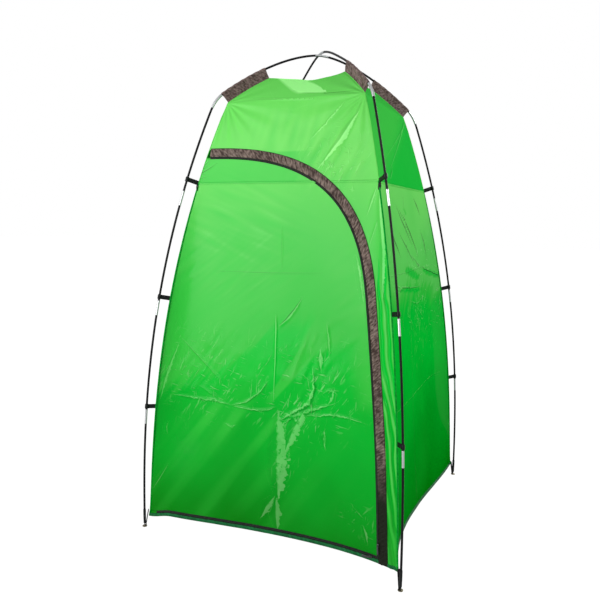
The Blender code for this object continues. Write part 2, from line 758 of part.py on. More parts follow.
def build_feet(shop, poles):
    """Steel pin in each pole's end, on a flat grommet held by the hem's foot strap."""
    for corner in CORNERS:
        pole, far = poles[corner]
        name = f"foot_{corner}"
        base = pole.frame(pole.seen_from(far, 0.0))
        tip = pole.frame(pole.seen_from(far, PIN_DEPTH))
        ground = Vector((base.translation.x, base.translation.y, 0))
        rise = Vector((0, 0, 1))
        bm = bmesh.new()
        bmesh.ops.create_cone(
            bm,
            cap_ends=True,
            segments=16,
            radius1=GROMMET_RADIUS,
            radius2=GROMMET_RADIUS,
            depth=GROMMET_THICKNESS,
            matrix=Matrix.Translation(ground + rise * GROMMET_THICKNESS / 2),
        )
        foot = shop.add(name, finished_mesh(name, bm), "steel")

        bm = bmesh.new()
        rings = []
        turned = base.to_3x3().to_4x4()
        low = ground + rise * GROMMET_THICKNESS / 2
        for centre in (low, base.translation, tip.translation):
            placed = Matrix.Translation(centre) @ turned
            ring = bmesh.ops.create_circle(bm, segments=RING_SIDES, radius=PIN_RADIUS, matrix=placed)
            rings.append(ring["verts"])
        skin(bm, rings, joined=False)
        bm.faces.new(rings[0])
        bm.faces.new(rings[-1])
        pin = shop.add_cutter(f"{name}_pin", finished_mesh(f"{name}_pin", bm))

        outward = Vector((*CORNERS[corner], 0)).normalized()
        side = outward.cross(rise)
        seam = outward * (seam_radius(HEM_Z) + SEW_GAP) + rise * HEM_Z
        toe = ground - outward * GROMMET_RADIUS / 2 + rise * GROMMET_THICKNESS / 2
        bm = bmesh.new()
        rings = []
        for centre in (toe, seam + rise * FOOT_STRAP_WIDTH):
            corners = []
            for across, out in ((-1, 0), (1, 0), (1, 1), (-1, 1)):
                point = centre + side * across * FOOT_STRAP_WIDTH / 2 + outward * out * WEBBING_THICKNESS
                corners.append(bm.verts.new(point))
            rings.append(corners)
        skin(bm, rings, joined=False)
        bm.faces.new(rings[0])
        bm.faces.new(rings[-1])
        strap = shop.add_cutter(f"{name}_strap", finished_mesh(f"{name}_strap", bm))
        boolean(foot, "UNION", pin)
        boolean(foot, "UNION", strap)


def seated(start, travel, up):
    """Matrix of a slider on the front wall, clear of the fabric over its whole travel.

    Y runs along the travel, Z out of the fabric and X along up's side of it.
    """
    end = start + travel
    first, last = front_surface(start.x, start.y), front_surface(end.x, end.y)
    along = (last - first).normalized()
    step = Vector(up) * SLIDER_WIDTH
    beside = front_surface(start.x + step.x, start.y + step.y) - first
    across = (beside - along * beside.dot(along)).normalized()
    out = across.cross(along)
    if out.y > 0:
        across, out = -across, -out
    rotation = Matrix((across, along, out)).transposed()
    height = 0.0
    for share in spaced(0, 1, 40):
        middle = first.lerp(last, share)
        for x_share in (-0.5, 0, 0.5):
            for y_share in (-0.5, 0, 0.5):
                point = middle + across * x_share * SLIDER_WIDTH + along * y_share * SLIDER_LENGTH
                surface = front_surface(point.x, point.z)
                height = max(height, (surface - point).dot(out))
    placed = first + out * (height + TOUCH)
    return Matrix.Translation(placed) @ rotation.to_4x4()


def slider_mesh(name):
    """Slider body on the plane z = 0 with a wire bail over the pull's bar."""
    bm = bmesh.new()
    scaled = Matrix.Diagonal((SLIDER_WIDTH, SLIDER_LENGTH, SLIDER_THICKNESS, 1))
    lifted = Matrix.Translation((0, 0, SLIDER_THICKNESS / 2))
    bmesh.ops.create_cube(bm, size=1, matrix=lifted @ scaled)
    bmesh.ops.bevel(bm, geom=bm.edges[:], offset=SLIDER_BEVEL, segments=1, affect="EDGES")
    return finished_mesh(name, bm)


def bail_mesh(name):
    """Half hoop of wire in the plane x = 0, its ends sunk in the slider."""
    bm = bmesh.new()
    rings = []
    sunk = SLIDER_BEVEL
    legs = [(-BAIL_RADIUS, -BAR_LIFT - sunk)] + arc(BAIL_RADIUS, 180, 0, 6) + [(BAIL_RADIUS, -BAR_LIFT - sunk)]
    for i, (y, z) in enumerate(legs):
        before, after = legs[max(i - 1, 0)], legs[min(i + 1, len(legs) - 1)]
        along = Vector((0, after[0] - before[0], after[1] - before[1])).normalized()
        side = Vector((1, 0, 0))
        rotation = Matrix((side, along.cross(side), along)).transposed().to_4x4()
        placed = Matrix.Translation((0, y, z + SLIDER_THICKNESS + BAR_LIFT)) @ rotation
        ring = bmesh.ops.create_circle(bm, segments=RING_SIDES, radius=BAIL_WIRE, matrix=placed)
        rings.append(ring["verts"])
    skin(bm, rings, joined=False)
    bm.faces.new(rings[0])
    bm.faces.new(rings[-1])
    return finished_mesh(name, bm, rounded=True)


# Height of a pull's bar, on which it turns, above its slider
BAR_LIFT = math.hypot(PULL_BAR, PULL_THICKNESS / 2) + 2 * TOUCH


def pull_object(shop, name, direction):
    """Pull tab, lying along direction (+1 or -1 on Y), whose bar turns inside the bail."""
    curve = bpy.data.curves.new(name, "CURVE")
    curve.dimensions = "2D"
    curve.fill_mode = "BOTH"
    curve.extrude = PULL_THICKNESS / 2
    wide, eye = PULL_WIDTH / 2, PULL_EYE_WIDTH / 2
    taper = 0.7 * wide
    outside = [(wide, PULL_BAR), (wide, -PULL_LENGTH * 0.8), (taper, -PULL_LENGTH)]
    outside += [(-x, y) for x, y in reversed(outside)]
    hole = [(eye, -PULL_BAR), (eye, -PULL_BAR - PULL_EYE_LENGTH)]
    hole += [(-x, y) for x, y in reversed(hole)]
    for outline in (outside, hole):
        spline = curve.splines.new("POLY")
        spline.points.add(len(outline) - 1)
        for point, (x, y) in zip(spline.points, outline):
            point.co = (x, -direction * y, 0, 1)
        spline.use_cyclic_u = True
    made = bpy.data.objects.new(name, curve)
    curve.materials.append(shop.finishes["metal"])
    shop.parts.objects.link(made)
    return made


def coil_point(z):
    """Middle of the zip coil on the rising run at this height, as (x, z)."""
    return Vector((run_middle(z) - FLAP_WIDTH / 2 - SEW_GAP - COIL_WIDTH / 2, z))


def slider_places():
    """Where each slider starts and how far it goes, in the front wall's (x, z)."""
    low, high = coil_point(ARCH_SLIDER_Z), coil_point(ARCH_SLIDER_Z + ARCH_SLIDER_TRAVEL)
    hem = Vector((HEM_SLIDER_X, ZIP_Z - COIL_WIDTH / 2))
    return {
        "arch": (low + Vector((SLIDER_WIDTH / 4, 0)), high - low, (1, 0), -1),
        "hem": (hem, Vector((-HEM_SLIDER_TRAVEL, 0)), (0, -1), 1),
    }


def build_sliders(shop):
    """Both zip sliders, at rest where the two zips meet, with their pulls."""
    for label, (start, travel, up, direction) in slider_places().items():
        name = f"{label}_zip_slider"
        slider = shop.add(name, slider_mesh(name), "metal")
        slider.matrix_world = seated(start, travel, up)
        bail = shop.add_cutter(f"{label}_bail", bail_mesh(f"{label}_bail"))
        bail.matrix_world = slider.matrix_world
        boolean(slider, "UNION", bail)
        pull = pull_object(shop, f"{label}_zip_pull", direction)
        pull.parent = slider
        pull.location = (0, 0, SLIDER_THICKNESS + BAR_LIFT)


REFERENCE_POLE = Pole("a", 0.0)


def main():
    """Builds the whole tent."""
    shop = Workshop()
    under, over = Pole("a", 0.0), Pole("b", POLE_STACK)
    poles = {"a": (under, False), "b": (over, False), "c": (under, True), "d": (over, True)}
    build_poles(shop, poles)
    build_cabin(shop)
    build_sleeves(shop, poles)
    build_clips(shop, poles)
    build_feet(shop, poles)
    build_sliders(shop)


main()
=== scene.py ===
"""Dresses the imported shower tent: fine cloth, poles, zip and fittings, with a camera and a pale studio.

Metres, +Z up, the door side faces -Y. Corners: a front left, b front right, c rear right, d rear left.
"""

import json
import logging
import math
from bisect import bisect_left
from dataclasses import dataclass
from enum import Enum
from functools import cached_property, lru_cache, partial, reduce
from typing import Callable, Iterable, Optional, Sequence

import bmesh
import bpy
from mathutils import Matrix, Vector, noise


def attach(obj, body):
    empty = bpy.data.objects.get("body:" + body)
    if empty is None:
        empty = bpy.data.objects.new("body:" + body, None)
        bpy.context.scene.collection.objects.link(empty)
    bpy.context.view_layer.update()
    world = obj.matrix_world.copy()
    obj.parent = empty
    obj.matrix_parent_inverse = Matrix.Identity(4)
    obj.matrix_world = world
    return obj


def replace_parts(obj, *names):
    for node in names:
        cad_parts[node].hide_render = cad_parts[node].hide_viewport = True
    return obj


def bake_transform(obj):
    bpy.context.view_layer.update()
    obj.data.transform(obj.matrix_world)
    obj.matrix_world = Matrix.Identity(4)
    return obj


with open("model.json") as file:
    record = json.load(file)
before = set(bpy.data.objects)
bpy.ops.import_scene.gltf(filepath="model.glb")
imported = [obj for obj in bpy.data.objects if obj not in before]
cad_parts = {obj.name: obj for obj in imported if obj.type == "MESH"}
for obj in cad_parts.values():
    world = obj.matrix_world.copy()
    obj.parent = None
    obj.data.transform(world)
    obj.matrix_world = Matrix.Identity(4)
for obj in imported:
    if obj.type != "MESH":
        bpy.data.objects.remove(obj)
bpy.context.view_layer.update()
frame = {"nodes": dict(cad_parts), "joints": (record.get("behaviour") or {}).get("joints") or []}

LOG = logging.getLogger("shower_tent")
UP = Vector((0, 0, 1))
CORNERS = {"a": (-1, -1), "b": (1, -1), "c": (1, 1), "d": (-1, 1)}
CABIN, DOOR = "cabin", "door"
Pair, Triple = tuple[float, float], tuple[float, float, float]
Socket, Piece, Shape = bpy.types.NodeSocket, bpy.types.Object, bmesh.types.BMesh
# Angle of the hard edges for a cloth, which has none
SMOOTH = 180
# Distance from a crease, in its widths, where there is none
FAR_OFF = 9.0
# Levels of a corner line beyond the leg: at the sleeve's foot and at its top
SLEEVE_FOOT, SLEEVE_TOP = 2.0, 3.0


class Wall(Enum):
    """A side of the cabin: its turn about Z in degrees and the lean of its inward bow."""

    FRONT = (0, 0.8)
    RIGHT = (90, -0.8)
    BACK = (180, 0.0)
    LEFT = (270, 0.0)

    @property
    def degrees(self) -> int:
        """Turn about Z from the front wall."""
        return self.value[0]

    @property
    def turn(self) -> Matrix:
        """Rotation from the front wall's place to this wall's."""
        return Matrix.Rotation(math.radians(self.degrees), 4, "Z")

    @property
    def skew(self) -> float:
        """How much the bow leans to one side."""
        return self.value[1]

    @property
    def outward(self) -> Vector:
        """The way that this side faces."""
        return self.turn @ Vector((0, -1, 0))

    @property
    def label(self) -> str:
        """This side's name as its pieces have it."""
        return self.name.lower()


def spaced(first: float, last: float, count: int) -> list[float]:
    """Numbers from first to last in even steps, count of them."""
    return [first * (1 - i / count) + last * i / count for i in range(count + 1)]


def smooth(share: float) -> float:
    """Eases a share between 0 and 1, flat at both ends."""
    share = min(1.0, max(0.0, share))
    return share * share * (3 - 2 * share)


def waver(x: float, y: float, z: float) -> float:
    """Smooth noise at a place, between about -1 and 1."""
    return noise.noise(Vector((x, y, z)))


def rising(value: float, start: float, width: float) -> float:
    """Eases from 0 at the start to 1 over a width, which is negative where it rises downwards."""
    return smooth((value - start) / width)


def bell(distance: float, width: float) -> float:
    """A soft bump of height 1 that fades out at about twice its width."""
    return math.exp(-((distance / width) ** 2))


def framed(point: Sequence[float], *axes: Vector) -> Matrix:
    """Frame at a point with these X, Y and Z axes."""
    return Matrix.Translation(point) @ Matrix(axes).transposed().to_4x4()


@dataclass(frozen=True)
class TentLines:
    """The lines that everything hangs on: poles, corner seams and the roof."""

    foot_spacing: float = 1.10
    elbow_radius: float = 0.4636
    elbow_z: float = 1.7715
    apex_z: float = 1.988
    leg_power: float = 2.35
    roof_power: float = 1.65
    pole_base_z: float = 0.045
    elbow_bend: float = 0.040
    crossing_run: float = 0.20
    pole_stack: float = 0.012
    hem_z: float = 0.060
    seam_z: float = 1.434
    leg_top_z: float = 1.700
    seam_gap_foot: float = 0.018
    seam_gap_rise: float = 0.035
    sleeve_outer_radius: float = 0.436
    sleeve_top_radius: float = 0.2531
    sleeve_width: float = 0.0395
    top_sag: float = 0.035
    link_length: float = 0.066
    sleeve_length: float = 0.21
    leg_steps: int = 160
    roof_steps: int = 120
    bend_steps: int = 16

    @property
    def foot_radius(self) -> float:
        """Distance of a foot from the tent's middle."""
        return self.foot_spacing / math.sqrt(2)

    def leg_radius(self, z: float) -> float:
        """Distance of a leg from the tent's middle at height z."""
        fall = self.foot_radius - self.elbow_radius
        return self.foot_radius - fall * (z / self.elbow_z) ** self.leg_power

    def roof_height(self, radius: float, lift: float = 0.0) -> float:
        """Height of a roof rod's middle at a radius; lift carries it over the other pole at the crossing."""
        fall = (self.apex_z - self.elbow_z) * (radius / self.elbow_radius) ** self.roof_power
        return self.apex_z - fall + lift * smooth(1 - radius / self.crossing_run)

    def seam_radius(self, z: float) -> float:
        """Distance of a corner seam from the tent's middle, below the sleeves."""
        rise = max(0.0, z - self.hem_z) / (self.leg_top_z - self.hem_z)
        return self.leg_radius(z) - self.seam_gap_foot - self.seam_gap_rise * math.sqrt(rise)

    def half_width(self, z: float) -> float:
        """Half the width of a wall between its corner seams, below the sleeves."""
        return self.seam_radius(z) / math.sqrt(2)

    def sleeve_seam(self, share: float) -> Pair:
        """Point on the seam between sleeve and fabric.

        Args:
            share: 0 at the sleeve's outer end, 1 at its top.

        Returns:
            Distance from the tent's middle, and height.
        """
        radius = self.sleeve_outer_radius + (self.sleeve_top_radius - self.sleeve_outer_radius) * share
        step = 0.001
        slope = (self.roof_height(radius + step) - self.roof_height(radius - step)) / (2 * step)
        inward = Vector((slope, -1)).normalized()
        point = Vector((radius, self.roof_height(radius))) + self.sleeve_width * inward
        return point.x, point.y

    def corner(self, level: float) -> Pair:
        """Point on a corner seam.

        Args:
            level: a height up to the top of the leg; from there it runs on to SLEEVE_FOOT at the sleeve's
                foot, and to SLEEVE_TOP along the sleeve.

        Returns:
            Distance from the tent's middle, and height.
        """
        if level <= self.leg_top_z:
            return self.seam_radius(level), level
        if level >= SLEEVE_FOOT:
            return self.sleeve_seam(level - SLEEVE_FOOT)
        share = (level - self.leg_top_z) / (SLEEVE_FOOT - self.leg_top_z)
        low = Vector((self.seam_radius(self.leg_top_z), self.leg_top_z))
        high = Vector(self.sleeve_seam(0))
        point = low.lerp(high, share)
        return point.x, point.y

    def level_between(self, low: float, high: float, share: float) -> float:
        """Level on a corner line for an even climb from low to high.

        Args:
            low: the level at share 0.
            high: the level at share 1.
            share: 0 to 1.

        Returns:
            The level as corner takes it.
        """
        if high <= self.leg_top_z:
            return low + (high - low) * share
        bends = (low, self.leg_top_z, SLEEVE_FOOT, high)
        lengths = (self.leg_top_z - low, self.link_length, self.sleeve_length)
        run = share * sum(lengths)
        for start, end, length in zip(bends, bends[1:], lengths):
            if run <= length:
                return start + (end - start) * run / length
            run -= length
        return high


LINES = TentLines()


class PoleLine:
    """One pole's middle line in its diagonal plane, by arc length from its first foot."""

    def __init__(self, corner: str, lift: float) -> None:
        """Lays out the line.

        Args:
            corner: the corner where the pole starts.
            lift: how far it is carried over the other pole.
        """
        self.outward = Vector((*CORNERS[corner], 0)).normalized()
        self.side = self.outward.cross(UP)
        half = self._half(lift)
        self.points = half + [Vector((-point.x, point.y)) for point in reversed(half[:-1])]
        self.runs = [0.0]
        for first, second in zip(self.points, self.points[1:]):
            self.runs.append(self.runs[-1] + (second - first).length)
        self.length = self.runs[-1]

    @staticmethod
    def _half(lift: float) -> list[Vector]:
        """Points (radius, height) from foot to crossing."""
        elbow = Vector((LINES.elbow_radius, LINES.elbow_z))
        heights = spaced(LINES.pole_base_z, LINES.elbow_z, LINES.leg_steps)
        leg = [Vector((LINES.leg_radius(z), z)) for z in heights]
        radii = spaced(LINES.elbow_radius, 0.0, LINES.roof_steps)
        roof = [Vector((radius, LINES.roof_height(radius, lift))) for radius in radii]
        leg = [point for point in leg if (point - elbow).length > LINES.elbow_bend]
        roof = [point for point in roof if (point - elbow).length > LINES.elbow_bend]
        bend = []
        for t in spaced(0, 1, LINES.bend_steps)[1:-1]:
            bend.append((1 - t) ** 2 * leg[-1] + 2 * t * (1 - t) * elbow + t * t * roof[0])
        return leg + bend + roof

    def _flat(self, run: float) -> Vector:
        """Point in the pole's own plane."""
        run = min(self.length, max(0.0, run))
        high = min(max(1, bisect_left(self.runs, run)), len(self.runs) - 1)
        low = high - 1
        share = (run - self.runs[low]) / (self.runs[high] - self.runs[low])
        return self.points[low].lerp(self.points[high], share)

    def place(self, run: float) -> Matrix:
        """Frame on the line.

        Args:
            run: arc length.

        Returns:
            Matrix with X across the pole's plane, Y away from the cabin and Z along the pole.
        """
        reach = 0.004
        step = self._flat(run + reach) - self._flat(run - reach)
        along = (self.outward * step.x + UP * step.y).normalized()
        flat = self._flat(run)
        point = self.outward * flat.x + UP * flat.y
        return framed(point, self.side, along.cross(self.side), along)

    def run_at_radius(self, radius: float) -> float:
        """Arc length at which the near half has this distance from the middle."""
        for index, point in enumerate(self.points[:-1]):
            following = self.points[index + 1]
            if following.x <= radius:
                share = (point.x - radius) / (point.x - following.x)
                return self.runs[index] + share * (self.runs[index + 1] - self.runs[index])
        return self.length / 2


@dataclass(frozen=True)
class Leg:
    """A pole seen from one of its two feet.

    Args:
        pole: the pole's line.
        far: the foot is the one where the line ends.
    """

    pole: PoleLine
    far: bool = False

    def places(self, runs: Iterable[float]) -> list[Matrix]:
        """Frames on the pole at these distances from the foot."""
        return [self.pole.place(self.pole.length - run if self.far else run) for run in runs]


UNDER, OVER = PoleLine("a", 0.0), PoleLine("b", LINES.pole_stack)
LEGS = {"a": Leg(UNDER), "b": Leg(OVER), "c": Leg(UNDER, True), "d": Leg(OVER, True)}


def line(*numbers: int) -> tuple[Pair, ...]:
    """Points (x, z) in metres, from x, z, x, z and so on in millimetres."""
    places = [number / 1000 for number in numbers]
    return tuple(zip(places[::2], places[1::2]))


@dataclass(frozen=True)
class Crease:
    """A sharp fold or flat facet pressed into a wall, in the wall's (x, z).

    Its lit side lies on the right of a line that runs down, and above one that runs to the right. The lit side
    is painted paler and the other side painted darker, besides the raised shape.

    Args:
        points: corners of its line.
        height: how far it stands out, in where negative.
        width: width of its lit side at the middle.
        glint: how pale its lit side is painted, a painted highlight.
        shade: how dark its other side is painted, a painted shade.
        ragged: how much its edge wanders.
        ends: shares of its length over which it widens and narrows again.
    """

    points: tuple[Pair, ...]
    height: float = 0.0025
    width: float = 0.004
    glint: float = 0.8
    shade: float = 0.25
    ragged: float = 0.6
    ends: Pair = (0.5, 0.5)

    @cached_property
    def box(self) -> tuple[float, float, float, float]:
        """Lowest and highest x and z that the crease reaches."""
        xs, zs = zip(*self.points)
        margin = 2.0 * self.width + 0.012
        return min(xs) - margin, max(xs) + margin, min(zs) - margin, max(zs) + margin

    def nearest(self, x: float, z: float) -> Pair:
        """Finds a point's place beside the line.

        Args:
            x: distance along the wall from its middle.
            z: the height.

        Returns:
            Distance from the line, below 0 on its dark side, and the share of the way along it.
        """
        best, place, sign = 1.0, 0.0, 1.0
        count = len(self.points) - 1
        for index, (first, second) in enumerate(zip(self.points, self.points[1:])):
            run_x, run_z = second[0] - first[0], second[1] - first[1]
            off_x, off_z = x - first[0], z - first[1]
            share = (off_x * run_x + off_z * run_z) / (run_x * run_x + run_z * run_z)
            share = min(1.0, max(0.0, share))
            distance = math.hypot(off_x - share * run_x, off_z - share * run_z)
            if distance < best:
                best, place = distance, (index + share) / count
                sign = 1.0 if run_x * off_z > run_z * off_x else -1.0
        return best * sign, place

    def at(self, x: float, z: float) -> Triple:
        """Shape of the crease at a point of the wall.

        Args:
            x: distance along the wall from its middle.
            z: the height.

        Returns:
            Its height, the distance from its line in widths, and how far it counts there.
        """
        left, right, low, high = self.box
        if not (left < x < right and low < z < high):
            return 0.0, FAR_OFF, 0.0
        distance, share = self.nearest(x, z)
        taper = min(1.0, share / self.ends[0], (1 - share) / self.ends[1])
        width = self.width * max(0.05, taper) ** 0.6
        weight = smooth(2.2 * (1 - (abs(distance) - width) / 0.012)) if abs(distance) > width else 1.0
        rise = smooth(1 - abs(distance - width * 0.3) / (width + 0.004)) * min(1.0, 3 * taper)
        return self.height * rise, distance / width, weight


@dataclass(frozen=True)
class Wrinkling:
    """Straight soft wrinkles of one direction over a part of the front.

    Args:
        centre: (x, z) of the middle of the part.
        reach: its half width and half height.
        direction: degrees of the wrinkles above the level.
        pitch: distance from one to the next.
        length: how long a wrinkle runs.
        height: how far they stand out.
    """

    centre: Pair
    reach: Pair
    direction: float
    pitch: float
    length: float
    height: float

    def at(self, x: float, z: float) -> float:
        """Height at a point of the wall."""
        across = (x - self.centre[0]) / self.reach[0]
        up = (z - self.centre[1]) / self.reach[1]
        fade = smooth(1.2 - math.hypot(across, up))
        if fade <= 0:
            return 0.0
        turn = math.radians(self.direction)
        along = x * math.cos(turn) + z * math.sin(turn)
        beside = z * math.cos(turn) - x * math.sin(turn)
        return self.height * fade * waver(beside / self.pitch, along / self.length, self.pitch)


def creases(*rows: tuple) -> tuple[Crease, ...]:
    """Creases from rows: points in millimetres, height and width in tenths of one, and the rest as it is."""
    made = []
    for points, height, width, *looks in rows:
        made.append(Crease(line(*points), height / 10000, width / 10000, *looks))
    return tuple(made)


# Ridges and facets that packing and the hang of the cloth leave in the front, each with a painted highlight on
# its lit side and painted shade on the other
FRONT_CREASES = creases(
    ((309, 1160, 325, 1095, 344, 1000), 20, 80, 0.8, 0.1, 0.95, (0.2, 0.3)),
    ((383, 1400, 394, 1300, 412, 1190, 422, 1020), 20, 120, 0.85, 0.1, 0.8, (0.15, 0.25)),
    ((-6, 925, -2, 749, -3, 584), 30, 52, 0.95, 0.15, 0.2, (0.15, 0.9)),
    ((18, 545, 24, 400, 32, 212), 30, 460, 0.75, 0.1, 0.9, (0.5, 0.3)),
    ((130, 565, 90, 490, 58, 400), 35, 240, 0.75, 0.2, 0.8, (0.3, 0.3)),
    ((14, 206, -14, 165, -34, 120), 20, 200, 0.6, 0.1, 0.8),
    ((24, 198, 28, 140, 36, 82), 20, 240, 0.55, 0.1, 0.8),
    ((-450, 564, -370, 556, -260, 554, -186, 547), 22, 50, 0.8, 0.35, 1.5),
    ((-300, 566, -250, 556), 15, 60, 0.55, 0.1, 1.5),
    ((-190, 547, -100, 540, -30, 546, 10, 566), 25, 46, 0.85, 0.35, 1.0),
    ((-186, 548, -120, 568, -58, 618, -30, 662), 25, 48, 0.8, 0.3, 0.9),
    ((-150, 556, -100, 590, -70, 610), 15, 26, 0.45, 0.2, 0.9),
    ((20, 510, 85, 552, 150, 594, 168, 660, 158, 735), 40, 115, 0.95, 0.35, 1.2),
    ((40, 500, 100, 545, 165, 572, 255, 612), 30, 78, 0.85, 0.35, 1.3),
    ((120, 546, 200, 556, 270, 566, 375, 553), 22, 54, 0.8, 0.3, 1.6),
    ((50, 545, 85, 535, 112, 508), 30, 130, 0.85, 0.2, 1.2),
    ((185, 805, 184, 770, 190, 730), 30, 130, 0.95, 0.2, 0.9),
    ((206, 905, 216, 840, 222, 775), 25, 60, 0.55, 0.2, 0.9),
    ((246, 665, 238, 635, 222, 600), 25, 90, 0.85, 0.2, 1.0),
    ((110, 708, 136, 690, 150, 645), 15, 34, 0.5, 0.3, 1.2),
    ((200, 640, 225, 655, 268, 660), 20, 60, 0.5, 0.2, 1.8),
    ((213, 500, 212, 470, 220, 436), 25, 110, 0.9, 0.2, 1.0),
    ((100, 995, 72, 950, 38, 908, 8, 882), 30, 60, 0.75, 0.6, 0.6),
    ((-432, 812, -370, 750, -303, 694, -235, 637), 20, 28, 0.4, 0.5, 0.8),
    ((-434, 778, -464, 690, -478, 640, -496, 556), 30, 88, 0.6, 0.2, 0.9),
    ((-412, 720, -430, 665), 20, 40, 0.45, 0.2, 0.8),
    ((-340, 610, -300, 590, -240, 566), 15, 32, 0.4, 0.2, 1.4),
    ((-459, 272, -490, 215, -520, 165), 20, 32, 0.5, 0.2, 0.5),
    ((-468, 450, -476, 425, -470, 398), 15, 28, 0.45, 0.2, 0.8),
    ((-215, 470, -180, 455, -165, 470), 15, 50, 0.4, 0.1, 1.6),
    ((390, 172, 400, 145, 408, 120), 25, 75, 0.6, 0.2, 0.8),
    ((335, 245, 365, 215, 385, 205), 15, 40, 0.35, 0.2, 1.5),
    ((345, 1130, 352, 1070, 360, 1010), 15, 60, 0.5, 0.2, 0.5),
    ((273, 1690, 213, 1588, 149, 1504), 30, 170, 1.1, 0.2, 0.6, (0.35, 0.6)),
    ((205, 1725, 150, 1655, 92, 1593), 15, 46, 0.8, 0.2, 1.2),
    ((215, 1735, 170, 1672), 12, 28, 0.7, 0.1, 0.8),
    ((150, 1500, 165, 1494), 10, 30, 0.6, 0.1, 0.8),
    ((372, 1415, 356, 1365, 341, 1312), 20, 62, 0.7, 0.2, 0.5),
    ((385, 1300, 352, 1190), 15, 30, 0.4, 0.2, 0.5),
    ((2, 1270, 6, 1190, 11, 1100), 10, 22, 0.3, 0.3, 0.3),
    ((-300, 1083, -40, 1087, 200, 1096), 10, 22, 0.15, 0.5, 0.4),
    ((-410, 1478, -372, 1537), -30, 32, 0.2, 0.8, 0.3),
    ((-404, 1456, -307, 1515), -30, 34, 0.3, 0.8, 0.3),
    ((-395, 1480, -335, 1530), 30, 36, 0.4, 0.5, 0.3),
    ((-420, 1440, -345, 1462), 20, 30, 0.35, 0.6, 0.3),
    ((-250, 1776, -80, 1762, 113, 1752), 15, 30, 0.25, 0.3, 0.4),
    # Painted light: the pale patch where light comes through the top of the front from behind
    ((-160, 1893, -104, 1858, -22, 1803, 12, 1786, 118, 1779), 8, 700, 1.3, 0.0, 0.06, (0.6, 0.3)),
    # Painted shade: the dark line of the far hem seen through the top of the front
    ((-22, 1800, 12, 1784, 127, 1774, 281, 1777), -8, 28, 0.0, 0.8, 0.1, (0.1, 0.6)),
)
# Lines that every wall keeps from its bag, and the crumples of a side wall, painted paler on their lit sides
# and darker on the others
PACKING_CREASES = creases(
    ((0, 1400, 3, 900, 0, 90), 16, 32, 0.35, 0.3, 1.0, (0.02, 0.02)),
    ((-420, 1085, 0, 1080, 420, 1087), 12, 26, 0.3, 0.4, 1.4, (0.1, 0.1)),
    ((-470, 552, 0, 547, 470, 553), 14, 30, 0.4, 0.2, 1.6, (0.1, 0.1)),
)
SIDE_CREASES = creases(
    ((-125, 1355, -17, 1276, 104, 1190), 18, 85, 0.1, 0.8, 0.5),
    ((-66, 1337, 82, 1246, 208, 1137), 18, 85, 0.1, 0.9, 0.5),
    ((-240, 1300, -190, 1220, -110, 1150), 18, 90, 0.1, 0.9, 0.5),
    ((-108, 1248, -6, 1189, 123, 1115), 18, 80, 0.1, 0.7, 0.5),
    ((190, 1395, 240, 1365, 290, 1322), 22, 70, 0.1, 0.9, 0.5),
    ((280, 1250, 330, 1200, 360, 1130), 20, 75, 0.1, 0.8, 0.8),
    ((80, 1150, 180, 1105, 274, 1083), 25, 40, 0.5, 0.9, 0.9),
    ((274, 1083, 380, 1060, 500, 1020), 35, 50, 0.5, 1.0, 1.0),
    ((-230, 975, -170, 1010, -114, 1026, 60, 1008, 235, 1000), 30, 44, 0.5, 0.9, 0.9),
    ((-250, 1060, -160, 1030, -80, 1022), 20, 36, 0.4, 0.7, 0.9),
    ((0, 958, 140, 930, 300, 950), 25, 50, 0.5, 0.4, 1.5),
    ((-192, 960, -139, 897, -100, 840), 20, 50, 0.5, 0.3, 1.5),
    ((-66, 928, 29, 855, 80, 800), 20, 50, 0.5, 0.3, 1.5),
    ((118, 922, 268, 847), 20, 46, 0.4, 0.3, 1.5),
    ((292, 1750, 70, 1620, -154, 1490), 20, 60, 0.5, 0.2, 0.4, (0.2, 0.8)),
    ((302, 1743, 40, 1630, -221, 1522), 16, 40, 0.35, 0.2, 0.6, (0.2, 0.8)),
    ((-110, 1500, -170, 1455), 18, 60, 0.45, 0.3, 0.6),
)
CREASES = {Wall.FRONT: FRONT_CREASES, Wall.BACK: PACKING_CREASES}
CREASES[Wall.RIGHT] = CREASES[Wall.LEFT] = PACKING_CREASES + SIDE_CREASES
FRONT_WRINKLES = (
    Wrinkling((-0.12, 0.48), (0.55, 0.62), 54, 0.085, 0.6, 0.002),
    Wrinkling((-0.16, 0.42), (0.5, 0.5), 54, 0.028, 0.35, 0.0008),
    Wrinkling((-0.2, 1.28), (0.36, 0.2), -20, 0.02, 0.2, 0.0024),
    Wrinkling((-0.18, 1.08), (0.4, 0.22), 38, 0.017, 0.14, 0.0017),
    Wrinkling((0.05, 1.62), (0.34, 0.14), 78, 0.03, 0.2, 0.0018),
    Wrinkling((0.18, 1.52), (0.2, 0.16), 60, 0.026, 0.14, 0.0022),
    Wrinkling((-0.28, 0.7), (0.22, 0.24), 62, 0.016, 0.12, 0.0014),
    Wrinkling((0.16, 0.72), (0.16, 0.26), 70, 0.02, 0.1, 0.0022),
    Wrinkling((0.3, 0.95), (0.14, 0.34), 40, 0.024, 0.12, 0.0012),
)
# Crumpled spots of the front: x, z, radius and how crumpled they are
FRONT_CRUMPLES = (
    (0.14, 0.66, 0.16, 0.95),
    (-0.33, 0.66, 0.15, 0.6),
    (0.06, 0.3, 0.07, 0.25),
    (0.2, 1.5, 0.12, 0.55),
    (0.37, 0.18, 0.07, 0.35),
    (-0.08, 0.66, 0.12, 0.5),
)


